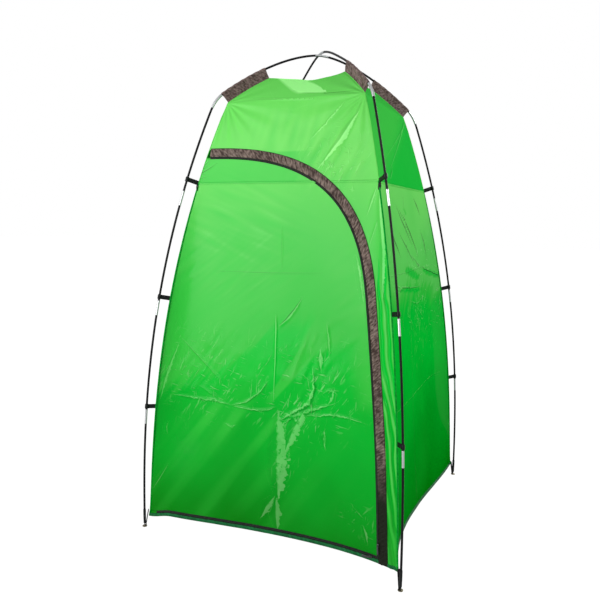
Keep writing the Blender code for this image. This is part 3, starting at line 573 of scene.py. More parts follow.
@dataclass(frozen=True)
class Bloom:
    """Painted sheen: a paler colour painted over the upper part of a wall, standing in for the reflection of
    the lamps and the bright studio.

    Args:
        levels: (x, z) corners of the line where it begins, at the slant's own level.
        slant: metres that it shifts to the right for a metre of height.
        level_z: the height at which it isn't shifted.
        soft: height over which it fades in.
        fingers: how far its slanting fingers reach up and down.
        pitch: how wide a finger is.
        top: the level above which the upper panel has its own share.
        upper: share of painted sheen on the upper panel.
        upper_gain: what is added above the upper line.
        upper_line: x and z of a point on that line, and its slope.
        bands: x of faint slanting bands below the line.
        window: middle and half width of the part that has fingers.
        pockets: hollows where the painted sheen is taken away, which leaves painted shade, each x, z, half
            length, half height and slope.
        pocket_depth: what a pocket takes away.
        most: the greatest share.
    """

    levels: tuple[Pair, ...]
    slant: float = 0.73
    level_z: float = 0.75
    soft: float = 0.10
    fingers: float = 0.10
    pitch: float = 0.024
    top: float = 9.0
    upper: float = 1.0
    upper_gain: float = 0.22
    upper_line: Triple = (-0.154, 1.49, 0.583)
    bands: tuple[float, ...] = ()
    window: Pair = (-0.3, 0.3)
    pockets: tuple[tuple[float, float, float, float, float], ...] = ()
    pocket_depth: float = 0.95
    most: float = 0.92

    def edge(self, x: float) -> float:
        """Height where the painted sheen begins."""
        if x <= self.levels[0][0]:
            return self.levels[0][1]
        for (left, low), (right, high) in zip(self.levels, self.levels[1:]):
            if x < right:
                return low + (high - low) * (x - left) / (right - left)
        return self.levels[-1][1]

    def at(self, x: float, z: float) -> float:
        """Share of painted sheen at a point of the wall, 0 to 1."""
        if z > self.top:
            line_x, line_z, slope = self.upper_line
            return self.upper + self.upper_gain * smooth(0.4 + (z - line_z - slope * (x - line_x)) / 0.16)
        slid = x - (z - self.level_z) * self.slant
        finger = waver(slid / self.pitch, 3.0, z / 0.45)
        finger += 0.5 * waver(slid / (0.42 * self.pitch), 5.0, z / 0.2)
        inside = smooth((self.window[1] - abs(slid - self.window[0])) / 0.15)
        share = smooth(0.5 + (z - self.edge(slid) + self.fingers * finger * inside) / self.soft) * self.most
        share += 0.10 * waver(x * 4, 7.0, z * 4)
        for band in self.bands:
            near = smooth(1.3 - abs(slid - band) / 0.030) * rising(z, 0.60, -0.12) * rising(x, 0.05, -0.05)
            share = max(share, near * (0.12 + 0.5 * rising(z, 0.30, 0.25)))
        for pocket_x, pocket_z, length, height, slope in self.pockets:
            along, beside = x - pocket_x, z - pocket_z - slope * (x - pocket_x)
            wander = 0.5 * waver(x * 9, 4.0, z * 30)
            inside = 1.2 - math.hypot(along / length, beside / height) + wander
            share -= self.pocket_depth * smooth(inside / 0.35)
        return min(self.most, max(0.0, share))


# Painted sheen of each wall: where it begins, its slanting fingers and bands, and on the sides its pockets of
# painted shade
FRONT_PAINTED_SHEEN = Bloom(
    line(
        -450, 560, -377, 584, -269, 654, -150, 710, -125, 840,
        -100, 885, 30, 900, 60, 800, 85, 600, 115, 585,
        140, 780, 180, 820, 250, 840, 330, 740, 450, 620,
    ),
    bands=(-0.1, 0.01, 0.185),
)
SIDE_PAINTED_SHEEN = Bloom(
    line(-600, 970, -300, 960, -100, 975, 100, 950, 500, 960),
    slant=0.9,
    soft=0.13,
    fingers=0.07,
    pitch=0.07,
    top=LINES.seam_z,
    upper=0.08,
    window=(0.0, 0.9),
    pockets=(
        (0.074, 1.07, 0.12, 0.018, -0.18),
        (0.058, 0.998, 0.17, 0.009, -0.08),
        (0.4, 1.046, 0.13, 0.01, -0.25),
        (0.02, 1.33, 0.02, 0.004, -0.6),
    ),
    most=1.2,
)
BACK_PAINTED_SHEEN = Bloom(line(-600, 700, 0, 800, 500, 680), slant=-0.5, soft=0.3, fingers=0.1)
PAINTED_SHEENS = {Wall.FRONT: FRONT_PAINTED_SHEEN, Wall.RIGHT: SIDE_PAINTED_SHEEN, Wall.BACK: BACK_PAINTED_SHEEN, Wall.LEFT: SIDE_PAINTED_SHEEN}


@dataclass(frozen=True)
class Cloth:
    """The cabin's fabric surface, as the CAD panels have it, with the finer folds added."""

    hem_bow: float = 0.050
    seam_bow: float = 0.010
    middle_bow: float = 0.028
    flatness: int = 8
    front_sag: float = 1.2
    corner_drop: float = 0.016
    blend_z: float = 0.50
    fold_depth: float = 0.004
    fold_waves: int = 3
    slack_pitch: float = 0.030
    slack_slant: float = 3.0
    slack_height: float = 0.0036
    drape_height: float = 0.0022
    ripple_height: float = 0.0007
    tension_height: float = 0.0022
    fan_height: float = 0.0024
    fan_rays: float = 17
    # How the painted sheen follows the wrinkles' height, and how much of it is taken away at the left and above
    # the door's seam
    wrinkle_painted_sheen: float = 150
    left_painted_sheen: float = -0.18
    door_top_painted_sheen: float = -0.42

    def bow(self, wall: Wall, across: float, z: float) -> float:
        """How far the surface lies inside the wall's plane.

        Args:
            wall: the side of the cabin.
            across: -1 to 1 between the corner seams.
            z: the height.

        Returns:
            The depth in metres.
        """
        rise = (z - LINES.hem_z) / (LINES.seam_z - LINES.hem_z)
        if rise < 1:
            depth = self.hem_bow + (self.seam_bow - self.hem_bow) * rise
            depth += 4 * self.middle_bow * rise * (1 - rise)
        else:
            depth = self.seam_bow * (1 - smooth((z - LINES.seam_z) / (LINES.leg_top_z - LINES.seam_z)))
        hem_shape = (1 - across * across) * (1 + wall.skew * across)
        flat_shape = 1 - abs(across) ** self.flatness
        share = smooth((z - LINES.hem_z) / (self.blend_z - LINES.hem_z))
        shape = hem_shape + (flat_shape - hem_shape) * share
        folds = self.fold_depth * (1 - math.cos(2 * math.pi * self.fold_waves * across)) / 2
        taper = (1 - across * across) * smooth(z / self.blend_z)
        taut = 0.15 if wall is Wall.FRONT else 0.45
        return depth * shape + taut * folds * taper * smooth((LINES.leg_top_z - z) / self.blend_z)

    def relief(self, wall: Wall, across: float, x: float, z: float) -> float:
        """Outward height of the finer folds.

        Args:
            wall: the side of the cabin.
            across: -1 to 1 between the corner seams.
            x: distance along the wall from its middle.
            z: the height.

        Returns:
            The height in metres, none at the corner seams.
        """
        seed = wall.degrees * 0.37
        edge = smooth((1 - abs(across)) / 0.05)
        height = self.drape_height * waver(x * 3.1 + seed, seed, z * 1.7)
        height += self.ripple_height * waver(x * 10 + seed, 3.3, z * 8)
        height += self.fan(x, z) * (1.0 if wall is Wall.FRONT else 0.5)
        height += sum(crease.at(x, z)[0] for crease in CREASES[wall])
        if wall is Wall.FRONT:
            height += sum(wrinkles.at(x, z) for wrinkles in FRONT_WRINKLES)
            return height * edge + self.slack_height * self.slack(x, z) * smooth((1 - abs(across)) / 0.02)
        tension = waver((x * 0.8 - z * 0.6) * 12 + seed, (x * 0.6 + z * 0.8) * 2, seed)
        height += self.tension_height * tension * self.crush(wall, x, z)
        return height * edge

    def slack(self, x: float, z: float) -> float:
        """Phase of the upright folds in the slack strip between the flap and corner b.

        Args:
            x: distance along the wall from its middle.
            z: the height.

        Returns:
            -1 to 1 between the bottom and the crest of a fold, 0 outside the strip.
        """
        start = DOORWAY.beside(DOORWAY.run_share(z), DOORWAY.flap_width / 2).x
        mask = smooth((x - start) / 0.008) * rising(z, 1.25, -0.30) * rising(z, 0.03, 0.06)
        if mask <= 0:
            return 0.0
        wander = 1.1 * waver(x * 5, 2.0, z * 3.2) + 0.35 * waver(x * 25, 9.0, z * 11)
        return mask * math.cos(2 * math.pi * ((x - start) / self.slack_pitch + wander + self.slack_slant * z))

    def fan(self, x: float, z: float) -> float:
        """Folds that spread from the lower ends of the sleeves over the upper panels."""
        foot_radius, foot_z = LINES.sleeve_seam(0)
        height = 0.0
        for side in (-1, 1):
            inward = foot_radius / math.sqrt(2) - side * x
            drop = foot_z - z
            reach = math.hypot(inward, drop)
            fade = smooth(reach / 0.05) * math.exp(-reach / 0.17)
            angle = math.atan2(drop, inward + 0.001)
            height += self.fan_height * fade * math.sin(angle * self.fan_rays + side)
        return height

    def crush(self, wall: Wall, x: float, z: float) -> float:
        """How crumpled the cloth is at a point, 0 to 1."""
        if wall is not Wall.FRONT:
            patchy = 0.5 + waver(x * 3, wall.degrees, z * 3)
            return min(1.0, 0.12 + 0.9 * bell(z - 0.95, 0.20) * smooth(patchy))
        total = 0.10
        for spot_x, spot_z, radius, amount in FRONT_CRUMPLES:
            total += amount * bell(math.hypot(x - spot_x, z - spot_z), radius)
        return min(1.0, total)

    def marks(self, wall: Wall, x: float, z: float) -> tuple[float, ...]:
        """Marks of the folds and of the painted light at a point.

        Args:
            wall: the side of the cabin.
            x: distance along the wall from its middle.
            z: the height.

        Returns:
            Distance from the nearest crease's line in its widths, its painted highlight, its painted shade, how
            ragged it is, how crumpled the cloth is, and its painted sheen.
        """
        nearest, best = FAR_OFF, (FAR_OFF, 0.0, 0.0, 0.0)
        for crease in CREASES[wall]:
            _, side, weight = crease.at(x, z)
            if weight > 0 and abs(side) - weight < nearest:
                nearest = abs(side) - weight
                best = (side, weight * crease.glint, weight * crease.shade, crease.ragged)
        bloom = PAINTED_SHEENS[wall].at(x, z)
        if wall is Wall.FRONT:
            # Painted sheen that grows with the wrinkles' height, less of it at the left, and painted shade
            # above the door's seam
            bloom += self.wrinkle_painted_sheen * sum(wrinkles.at(x, z) for wrinkles in FRONT_WRINKLES)
            bloom += self.left_painted_sheen * rising(x, -0.30, -0.14) * rising(z, 0.75, 0.2) * rising(z, 1.43, -0.2)
            above = rising(z, 1.430, 0.006) * rising(z, 1.556, -0.006) * rising(x, 0.14, -0.12)
            bloom += self.door_top_painted_sheen * above
            # Painted highlights on the crests and painted shade in the hollows of the slack strip's folds
            fold = self.slack(x, z)
            crest = abs(fold) ** 0.6 * math.copysign(1, fold) * rising(z, 0.02, 0.4)
            bloom += smooth(abs(fold) / 0.05) * (0.50 + 0.80 * crest - bloom)
        return (*best, self.crush(wall, x, z), min(1.3, max(0.0, bloom)))

    def point(self, wall: Wall, across: float, level: float, lift: float = 0.0) -> Vector:
        """Point of the outer surface.

        Args:
            wall: the side of the cabin.
            across: -1 to 1 between the corner seams.
            level: height, or the stretch above the legs as TentLines.corner has it.
            lift: extra distance outwards.

        Returns:
            The point in world space.
        """
        if level > SLEEVE_FOOT:
            sag = LINES.top_sag * (1 - across * across)
            if wall is Wall.FRONT:
                sag *= self.front_sag + 0.7 * across
                sag += 0.014 * bell(across - 0.20, 0.24)
            sag /= LINES.sleeve_outer_radius - LINES.sleeve_top_radius
            level = SLEEVE_FOOT + (level - SLEEVE_FOOT) * (1 - sag)
        radius, z = LINES.corner(level)
        half = radius / math.sqrt(2)
        x = across * half
        out = half - self.bow(wall, across, z) + self.relief(wall, across, x, z) + lift
        if wall in (Wall.FRONT, Wall.LEFT):
            z -= self.drop(across if wall is Wall.LEFT else -across, z)
        return wall.turn @ Vector((x, -out, z))

    def drop(self, near: float, z: float) -> float:
        """How far the cloth is pulled down towards foot a; near is 1 at corner a, 0 in the wall's middle."""
        return self.corner_drop * rising(near, 0.80, 0.20) * rising(z, 0.30, -0.24)

    def front(self, x: float, z: float, lift: float) -> Vector:
        """Point that far outside the front wall by its x and height, below the sleeves."""
        across = max(-1.0, min(1.0, x / LINES.half_width(z)))
        return self.point(Wall.FRONT, across, z, lift)


CLOTH = Cloth()


@dataclass(frozen=True)
class Doorway:
    """Outline of the door, the flap and the zip, in the front wall's (x, z)."""

    run_foot: Pair = (0.4760, 0.060)
    run_bend_x: float = 0.4430
    run_top: Pair = (0.3770, 1.020)
    arch_rise: float = 0.380
    arch_shoulder: Pair = (0.114, 1.560)
    arch_end: Pair = (-0.338, 1.556)
    flap_width: float = 0.034
    coil_width: float = 0.006
    zip_z: float = 0.078
    zip_left_x: float = -0.500

    def middle(self, share: float) -> Vector:
        """Middle line of the flap.

        Args:
            share: 0 at the hem, 0.5 where the run turns into the arch, 1 at corner a.

        Returns:
            (x, z) of the point.
        """
        top = Vector(self.run_top)
        bend = Vector((self.run_bend_x, (self.run_foot[1] + self.run_top[1]) / 2))
        if share < 0.5:
            t = 2 * share
            return (1 - t) ** 2 * Vector(self.run_foot) + 2 * t * (1 - t) * bend + t * t * top
        t = 2 * share - 1
        rest = 1 - t
        first = top + self.arch_rise * (top - bend).normalized()
        point = rest**3 * top + 3 * rest * rest * t * first
        return point + 3 * rest * t * t * Vector(self.arch_shoulder) + t**3 * Vector(self.arch_end)

    @lru_cache(maxsize=4096)
    def beside(self, share: float, offset: float) -> Vector:
        """Point beside the middle line, outwards for a positive offset."""
        step = 0.002
        along = self.middle(min(1, share + step)) - self.middle(max(0, share - step))
        along.normalize()
        return self.middle(share) + offset * Vector((along.y, -along.x))

    @property
    def coil_offset(self) -> float:
        """Place of the coil's middle beside the middle line."""
        return -self.flap_width / 2 - self.coil_width / 2

    def run_share(self, z: float) -> float:
        """Share of the line at height z, along its rising side."""
        return min(0.5, 0.5 * max(0.0, (z - self.run_foot[1]) / (self.run_top[1] - self.run_foot[1])))

    @lru_cache(maxsize=4096)
    def share_at_z(self, z: float, offset: float = 0.0) -> float:
        """Share of the line at which its rising side reaches a height."""
        low, high = 0.0, 0.86
        for _ in range(30):
            middle = (low + high) / 2
            if self.beside(middle, offset).y < z:
                low = middle
            else:
                high = middle
        return low


DOORWAY = Doorway()


class Book:
    """Short hand for the nodes of a material or of the world."""

    def __init__(self, name: str, world: bool = False) -> None:
        """Starts a material or a world with an empty tree.

        Args:
            name: its name.
            world: makes a world.
        """
        self.owner = (bpy.data.worlds if world else bpy.data.materials).new(name)
        self.owner.use_nodes = True
        self.tree = self.owner.node_tree
        self.tree.nodes.clear()
        self.output = self.node("OutputWorld" if world else "OutputMaterial")

    def node(self, kind: str, settings: Optional[dict] = None, **inputs: object) -> bpy.types.Node:
        """Adds a node.

        Args:
            kind: the node's type, without the words ShaderNode.
            settings: properties of the node.
            inputs: values or sockets by input name, with _ for a space.

        Returns:
            The node.
        """
        made = self.tree.nodes.new(f"ShaderNode{kind}")
        for key, value in (settings or {}).items():
            setattr(made, key, value)
        for key, value in inputs.items():
            socket = made.inputs[int(key[1:])] if key[1:].isdigit() else made.inputs[key.replace("_", " ")]
            if isinstance(value, Socket):
                self.tree.links.new(value, socket)
            else:
                socket.default_value = value
        return made

    def coordinates(self, scale: Sequence[float] = (1, 1, 1)) -> Socket:
        """Object coordinates, stretched by a scale."""
        source = self.node("TexCoord").outputs["Object"]
        return self.node("Mapping", Vector=source, Scale=scale).outputs["Vector"]

    def height(self) -> Socket:
        """Height above the ground in metres."""
        return self.node("SeparateXYZ", Vector=self.coordinates()).outputs["Z"]

    def noise(self, scale: float, detail: float = 3.0, source: Optional[object] = None) -> Socket:
        """Factor of a noise texture."""
        vector = source or self.coordinates()
        return self.node("TexNoise", Vector=vector, Scale=scale, Detail=detail).outputs["Fac"]

    def ramp(self, factor: object, stops: Iterable[tuple[float, tuple]]) -> Socket:
        """Colour ramp.

        Args:
            factor: the socket that drives it.
            stops: (place, colour) pairs in order.

        Returns:
            The colour socket.
        """
        made = self.node("ValToRGB", Fac=factor)
        elements = made.color_ramp.elements
        stops = list(stops)
        while len(elements) < len(stops):
            elements.new(0.5)
        for element, (place, colour) in zip(elements, stops):
            element.position = place
            element.color = (*colour, 1)
        return made.outputs["Color"]

    def fit(self, value: object, low: float, high: float, out_low: float = 0, out_high: float = 1) -> Socket:
        """Moves a value from one range to another and keeps it there."""
        inputs = {"From_Min": low, "From_Max": high, "To_Min": out_low, "To_Max": out_high}
        return self.node("MapRange", Value=value, **inputs).outputs["Result"]

    def math(self, operation: str, first: object, second: object) -> Socket:
        """Sum, product or the like of two values."""
        return self.node("Math", {"operation": operation}, _0=first, _1=second).outputs[0]

    def attribute(self, name: str) -> Socket:
        """Number kept on the mesh's points."""
        return self.node("Attribute", {"attribute_name": name}).outputs["Fac"]

    def mixed(self, share: object, first: object, second: object) -> Socket:
        """Colour between a socket and another one or a fixed colour."""
        second = (*second, 1) if isinstance(second, tuple) else second
        mix = self.node("Mix", {"data_type": "RGBA", "clamp_factor": True}, _6=first, _7=second)
        self.tree.links.new(share, mix.inputs["Factor"])
        return mix.outputs[2]

    def product(self, *factors: object) -> Socket:
        """Product of two or more values."""
        return reduce(partial(self.math, "MULTIPLY"), factors)

    def vector(self, operation: str, first: object, **inputs: object) -> Socket:
        """Vector sum, scaling or the like."""
        return self.node("VectorMath", {"operation": operation}, _0=first, **inputs).outputs[0]

    def stitches(self, rows: Sequence[float], pitch: float = 0.0036) -> Socket:
        """Mask of dashed stitching on a UV map in metres, with U along the rows.

        Args:
            rows: the V of each row.
            pitch: length of one stitch with its gap.

        Returns:
            A socket that is 1 on a stitch.
        """
        stitch_share, half_thread = 0.68, 0.14
        place = self.node("SeparateXYZ", Vector=self.uv()).outputs
        turns = self.math("DIVIDE", place["X"], pitch)
        dash = self.math("LESS_THAN", self.math("FRACT", turns, 0.0), stitch_share)
        mask = None
        for row in rows:
            offset = self.math("ABSOLUTE", self.math("SUBTRACT", place["Y"], row), 0.0)
            near = self.math("LESS_THAN", offset, pitch * half_thread)
            mask = near if mask is None else self.math("MAXIMUM", mask, near)
        return self.math("MULTIPLY", dash, mask)

    def bump(self, height: object, distance: float, strength: object, **under: object) -> Socket:
        """Normal of a bump, laid over another one where Normal is given."""
        return self.node("Bump", Height=height, Distance=distance, Strength=strength, **under).outputs["Normal"]

    def uv(self, **mapping: object) -> Socket:
        """The piece's own UV map, turned and scaled by a Mapping node where it has inputs."""
        source = self.node("TexCoord").outputs["UV"]
        return self.node("Mapping", Vector=source, **mapping).outputs["Vector"] if mapping else source

    def principled(self, gloss: float, metallic: float = 0.0, **inputs: object) -> bpy.types.Node:
        """Main shader with its even values on its own sockets.

        Args:
            gloss: specular level.
            metallic: 1 for bare metal.
            inputs: values or sockets by input name.

        Returns:
            The shader's node.
        """
        shader = self.node("BsdfPrincipled", Metallic=metallic, **inputs)
        shader.inputs["Specular IOR Level"].default_value = gloss
        return shader

    def finish(self, shader: bpy.types.Node) -> bpy.types.ID:
        """Ends the tree with a shader and returns the material or world."""
        self.tree.links.new(shader.outputs[0], self.output.inputs["Surface"])
        return self.owner


@dataclass(frozen=True)
class CoatedPolyester:
    """Thin glossy green tent cloth that lets light through.

    Args:
        name: the material's name.
        low: colour at the hem, darker there as painted shade.
        middle: colour at 0.7 m.
        high: colour at the roof.
        bloom: colours of the painted sheen at 0.9, 1.2 and 1.6 m.
        pale: what painted highlights add to the colour: a crease's lit side, the crumple strokes and the
            strongest painted sheen.
        thread: colour of the stitching.
        rows: where the rows of stitches lie across a sewn band.
        through: share of light that goes through.
        gloss: specular level of the coating.
        slot: the record's material slot.
    """

    name: str
    low: Triple
    middle: Triple
    high: Triple
    bloom: tuple[Triple, ...] = ((0.033, 0.44, 0.042), (0.07, 0.49, 0.07), (0.14, 0.59, 0.10))
    pale: Triple = (0.13, 0.16, 0.11)
    thread: Triple = (0.01, 0.28, 0.03)
    rows: tuple[float, ...] = ()
    through: float = 0.30
    gloss: float = 0.08
    slot: str = "green_fabric"

    def build(self) -> bpy.types.Material:
        """Makes the material."""
        book = Book(self.name)
        crush, bloom = book.attribute("crush"), book.attribute("bloom")
        drift = book.fit(book.noise(2.2, 2), 0.3, 0.7, -0.10, 0.10)
        share = book.fit(book.math("ADD", book.height(), drift), 0.0, 2.0)
        # Darker towards the hem: painted shade
        colour = book.ramp(share, ((0.0, self.low), (0.35, self.middle), (1.0, self.high)))
        # Painted sheen: paler colours where the bloom attribute is high
        painted_sheen_colour = book.ramp(share, zip((0.45, 0.60, 0.80), self.bloom))
        colour = book.mixed(bloom, colour, painted_sheen_colour)
        strokes = self._strokes(book, crush)
        lit, dark = self._folds(book)
        # Painted highlights: the crumple strokes
        lit = book.math("MAXIMUM", lit, book.product(strokes, 0.85))
        # More painted highlight where the painted sheen is strongest
        lit = book.math("ADD", lit, book.fit(bloom, 1.0, 1.3, 0, 0.35))
        # Painted shade on the creases' dark sides, then the painted highlights added on top
        colour = book.vector("SCALE", colour, Scale=dark)
        colour = book.vector("ADD", colour, _1=book.vector("SCALE", self.pale, Scale=lit))
        if self.rows:
            colour = book.mixed(book.stitches(self.rows), colour, self.thread)
        ridged = {"noise_type": "RIDGED_MULTIFRACTAL"}
        crumple = book.node("TexNoise", ridged, Vector=book.coordinates(), Scale=11.0, Detail=3.0).outputs[0]
        normal = book.bump(book.noise(5, 2, book.coordinates((1, 1, 0.45))), 0.005, 0.4)
        normal = book.bump(crumple, 0.007, book.product(crush, 0.8), Normal=normal)
        normal = book.bump(strokes, 0.0016, 1.0, Normal=normal)
        normal = book.bump(book.noise(55, 3), 0.0010, 0.22, Normal=normal)
        rough = book.fit(book.noise(6, 3), 0.3, 0.7, 0.15, 0.23)
        shine = book.fit(book.node("LayerWeight", Blend=0.5).outputs["Facing"], 0.3, 0.6, self.gloss, 0.0)
        front = book.principled(self.gloss, Base_Color=colour, Roughness=rough, Normal=normal)
        book.tree.links.new(shine, front.inputs["Specular IOR Level"])
        behind = book.node("BsdfTranslucent", Color=colour, Normal=normal)
        return book.finish(book.node("MixShader", _0=self.through, _1=front.outputs[0], _2=behind.outputs[0]))

    @staticmethod
    def _folds(book: Book) -> tuple[Socket, Socket]:
        """Painted highlight and painted shade of the creases that mark_folds has marked.

        Args:
            book: the material's nodes.

        Returns:
            How pale a crease's lit side is painted, and what is left of the colour on its dark side, which is
            painted shade.
        """
        side, ragged = book.attribute("side"), book.attribute("ragged")
        frayed = book.product(book.fit(book.noise(70, 3), 0.3, 0.7, -0.5, 0.5), ragged)
        both_edges = book.fit(ragged, 0.85, 1.0)
        outer_edge = book.math("MAXIMUM", both_edges, book.fit(side, -0.1, 0.3))
        side = book.math("ADD", side, book.product(frayed, outer_edge))
        gaps = book.product(book.fit(book.noise(34, 2), 0.42, 0.54, 1, 0), book.product(both_edges, 0.75))
        whole = book.math("SUBTRACT", 1.0, gaps)
        lit = book.product(book.fit(side, -0.15, 0.05), book.fit(side, 0.82, 1.0, 1, 0))
        lit = book.product(lit, book.product(book.attribute("glint"), whole))
        dark = book.product(book.fit(side, -1.1, -0.8), book.fit(side, -0.15, 0.05, 1, 0))
        return lit, book.fit(book.product(dark, book.attribute("shade")), 0, 1, 1, 0.25)

    @staticmethod
    def _strokes(book: Book, crush: Socket) -> Socket:
        """Short thin crease lines where the cloth is crumpled, most of them slanting, used as bumps and as
        painted highlights.

        Args:
            book: the material's nodes.
            crush: how crumpled the cloth is.

        Returns:
            A socket that is 1 on a line.
        """
        lines = []
        axes = book.node("SeparateXYZ", Vector=book.coordinates()).outputs
        flat = book.node("CombineXYZ", X=book.math("ADD", axes["X"], axes["Y"]), Z=axes["Z"]).outputs[0]
        for angle, along, across, least in ((54, 16, 105, 0.60), (-12, 20, 120, 0.62), (82, 14, 95, 0.62)):
            about_y = {"rotation_type": "Y_AXIS"}
            turned = book.node("VectorRotate", about_y, Vector=flat, Angle=math.radians(angle))
            stretched = book.node("Mapping", Vector=turned.outputs[0], Scale=(along, along, across))
            place = stretched.outputs["Vector"]
            peaks = book.fit(book.noise(1.0, 2.0, place), least, least + 0.07)
            lines.append(book.product(peaks, book.fit(book.noise(7 + along / 4, 2), 0.46, 0.56)))
        return book.product(reduce(partial(book.math, "MAXIMUM"), lines), book.fit(crush, 0.12, 0.55))


@dataclass(frozen=True)
class WovenCloth:
    """Woven cloth or webbing with its threads along the piece's own UV map.

    Args:
        name: the material's name.
        slot: the record's material slot.
        colour: main colour.
        crest_highlight_and_thread: paler colour painted on raised threads and puckers as a highlight, mixed
            with random tone, and the stitching's colour.
        foot: darker colour near the ground, a painted shade, or None for the main one.
        threads: threads to a metre.
        roughness: how dull it is.
        rows: where rows of stitches lie across the band, in metres.
        pucker: how close its creases lie.
        slant: their slant across the band, in radians.
        stretch: how long they are; 1 for round ones.
        gloss: specular level.
    """

    name: str
    slot: str
    colour: Triple
    crest_highlight_and_thread: Triple
    foot: Optional[Triple] = None
    threads: float = 900.0
    roughness: float = 0.5
    rows: tuple[float, ...] = ()
    pucker: float = 150.0
    slant: float = 0.6
    stretch: float = 0.22
    gloss: float = 0.08

    def build(self) -> bpy.types.Material:
        """Makes the material."""
        book = Book(self.name)
        scaled = book.uv(Scale=(self.threads, self.threads, 1))
        weave = book.node("TexChecker", Vector=scaled, Scale=1.0).outputs["Fac"]
        slanted = book.uv(Rotation=(0, 0, self.slant), Scale=(1, 1 / self.stretch, 1))
        slanted.node.vector_type = "TEXTURE"
        pucker = book.noise(self.pucker, 3, slanted)
        cloud = book.math("ADD", book.product(pucker, 0.65), book.product(book.noise(30, 4), 0.35))
        # Paler on the raised puckers: a painted highlight, mixed with random tone
        colour = book.ramp(cloud, ((0.42, self.colour), (0.62, self.crest_highlight_and_thread)))
        # Darker near the ground: painted shade
        if self.foot:
            colour = book.mixed(book.fit(book.height(), 0.28, 0.47, 1, 0), colour, self.foot)
        if self.rows:
            colour = book.mixed(book.stitches(self.rows, 0.004), colour, self.crest_highlight_and_thread)
        normal = book.bump(pucker, 0.0030, 0.7, Normal=book.bump(weave, 0.0002, 0.4))
        rough = book.fit(cloud, 0.3, 0.7, self.roughness + 0.08, self.roughness - 0.1)
        return book.finish(book.principled(self.gloss, Base_Color=colour, Roughness=rough, Normal=normal))


@dataclass(frozen=True)
class Lacquer:
    """Smooth coat on plastic or metal, with faint scuffs.

    Args:
        name: the material's name.
        slot: the record's material slot.
        colour: base colour.
        roughness: how dull it is.
        metallic: 1 for bare metal.
        grain: scale of the fine streaks.
        gloss: specular level.
    """

    name: str
    slot: str
    colour: Triple
    roughness: float
    metallic: float = 0.0
    grain: float = 90.0
    gloss: float = 0.5

    def build(self) -> bpy.types.Material:
        """Makes the material."""
        book = Book(self.name)
        scuffs = book.noise(self.grain, 4, book.coordinates((1, 1, 0.12)))
        bare = self.metallic > 0.5
        lighter = tuple(min(1.0, value * (1.06 if bare else 1.35) + 0.002) for value in self.colour)
        colour = book.ramp(scuffs, ((0.4, self.colour), (0.75, lighter)))
        spread = 0.02 if bare else 0.07
        rough = book.fit(scuffs, 0.3, 0.7, self.roughness - spread, self.roughness + spread)
        normal = book.bump(scuffs, 0.0003, 0.01 if bare else 0.3)
        looks = {"Base_Color": colour, "Roughness": rough, "Normal": normal}
        return book.finish(book.principled(self.gloss, self.metallic, **looks))


@dataclass(frozen=True)
class CoilFinish:
    """Black zip coil with its turns across the band.

    Args:
        name: the material's name.
        slot: the record's material slot.
        pitch: length of one turn.
        wave_scale: scale at which the wave texture has one band to a metre of its map.
    """

    name: str = "zip_coil_turns"
    slot: str = "zip_black"
    pitch: float = 0.0022
    wave_scale: float = 0.314

    def build(self) -> bpy.types.Material:
        """Makes the material."""
        book = Book(self.name)
        scaled = book.uv(Scale=(1 / self.pitch, 1, 1))
        looks = {"Vector": scaled, "Scale": self.wave_scale, "Distortion": 0.0}
        turns = book.node("TexWave", {"bands_direction": "X"}, **looks).outputs["Fac"]
        normal = book.bump(turns, 0.0008, 0.9)
        colour = book.ramp(turns, ((0.0, (0.002, 0.004, 0.003)), (1.0, (0.03, 0.035, 0.03))))
        return book.finish(book.principled(0.1, Base_Color=colour, Roughness=0.42, Normal=normal))


# Cloth greens at the hem, at 0.7 m and at the roof; the dark hem green is painted shade
GREENS = ((0.0, 0.17, 0.001), (0.0, 0.44, 0.027), (0.005, 0.45, 0.045))


class Finish(Enum):
    """Every finish on the tent."""

    GREEN_FABRIC = CoatedPolyester("green_cloth", *GREENS)
    GREEN_SEAM = CoatedPolyester("green_seam", *GREENS, rows=(0.0025, 0.0075))
    GREEN_TRIM = WovenCloth(
        "green_binding", "green_fabric", (0.001, 0.050, 0.012), (0.003, 0.10, 0.025), rows=(0.0095,)
    )
    DARK_SEAM = WovenCloth(
        "corner_binding", "green_fabric", (0.0, 0.16, 0.012), (0.002, 0.24, 0.022), gloss=0.02
    )
    BROWN_FABRIC = WovenCloth(
        "brown_cloth",
        "brown_fabric",
        (0.028, 0.017, 0.014),
        (0.15, 0.112, 0.094),
        # Near black towards the ground: painted shade
        (0.004, 0.006, 0.002),
        slant=-0.85,
        stretch=0.3,
    )
    DARK_PIPING = WovenCloth("flap_piping", "brown_fabric", (0.004, 0.008, 0.004), (0.012, 0.020, 0.010))
    BROWN_SLEEVE = WovenCloth(
        "brown_sleeve",
        "brown_fabric",
        (0.045, 0.028, 0.025),
        (0.155, 0.110, 0.102),
        rows=(0.024, 0.058),
        pucker=190,
        slant=1.0,
        stretch=0.45,
    )
    BLACK_WEBBING = WovenCloth(
        "black_webbing", "clip_black", (0.004, 0.004, 0.0045), (0.012, 0.012, 0.012), threads=500
    )
    ROD_BLACK = Lacquer("rod_lacquer", "rod_black", (0.004, 0.004, 0.0045), 0.30, gloss=0.07)
    BRIGHT_STEEL = Lacquer("bright_steel", "ferrule_steel", (0.36, 0.37, 0.375), 0.34, 1.0)
    FOOT_STEEL = Lacquer("foot_steel", "foot_steel", (0.14, 0.125, 0.085), 0.38, 1.0)
    ZIP_BLACK = CoilFinish()
    SLIDER_METAL = Lacquer("slider_lacquer", "slider_metal", (0.03, 0.03, 0.032), 0.3, 0.6)
    CLIP_BLACK = Lacquer("clip_plastic", "clip_black", (0.004, 0.005, 0.005), 0.4, gloss=0.1)
    SHOCK_CORD = WovenCloth(
        "shock_cord_cover", "shock_cord", (0.6, 0.6, 0.58), (0.75, 0.75, 0.73), threads=1200
    )


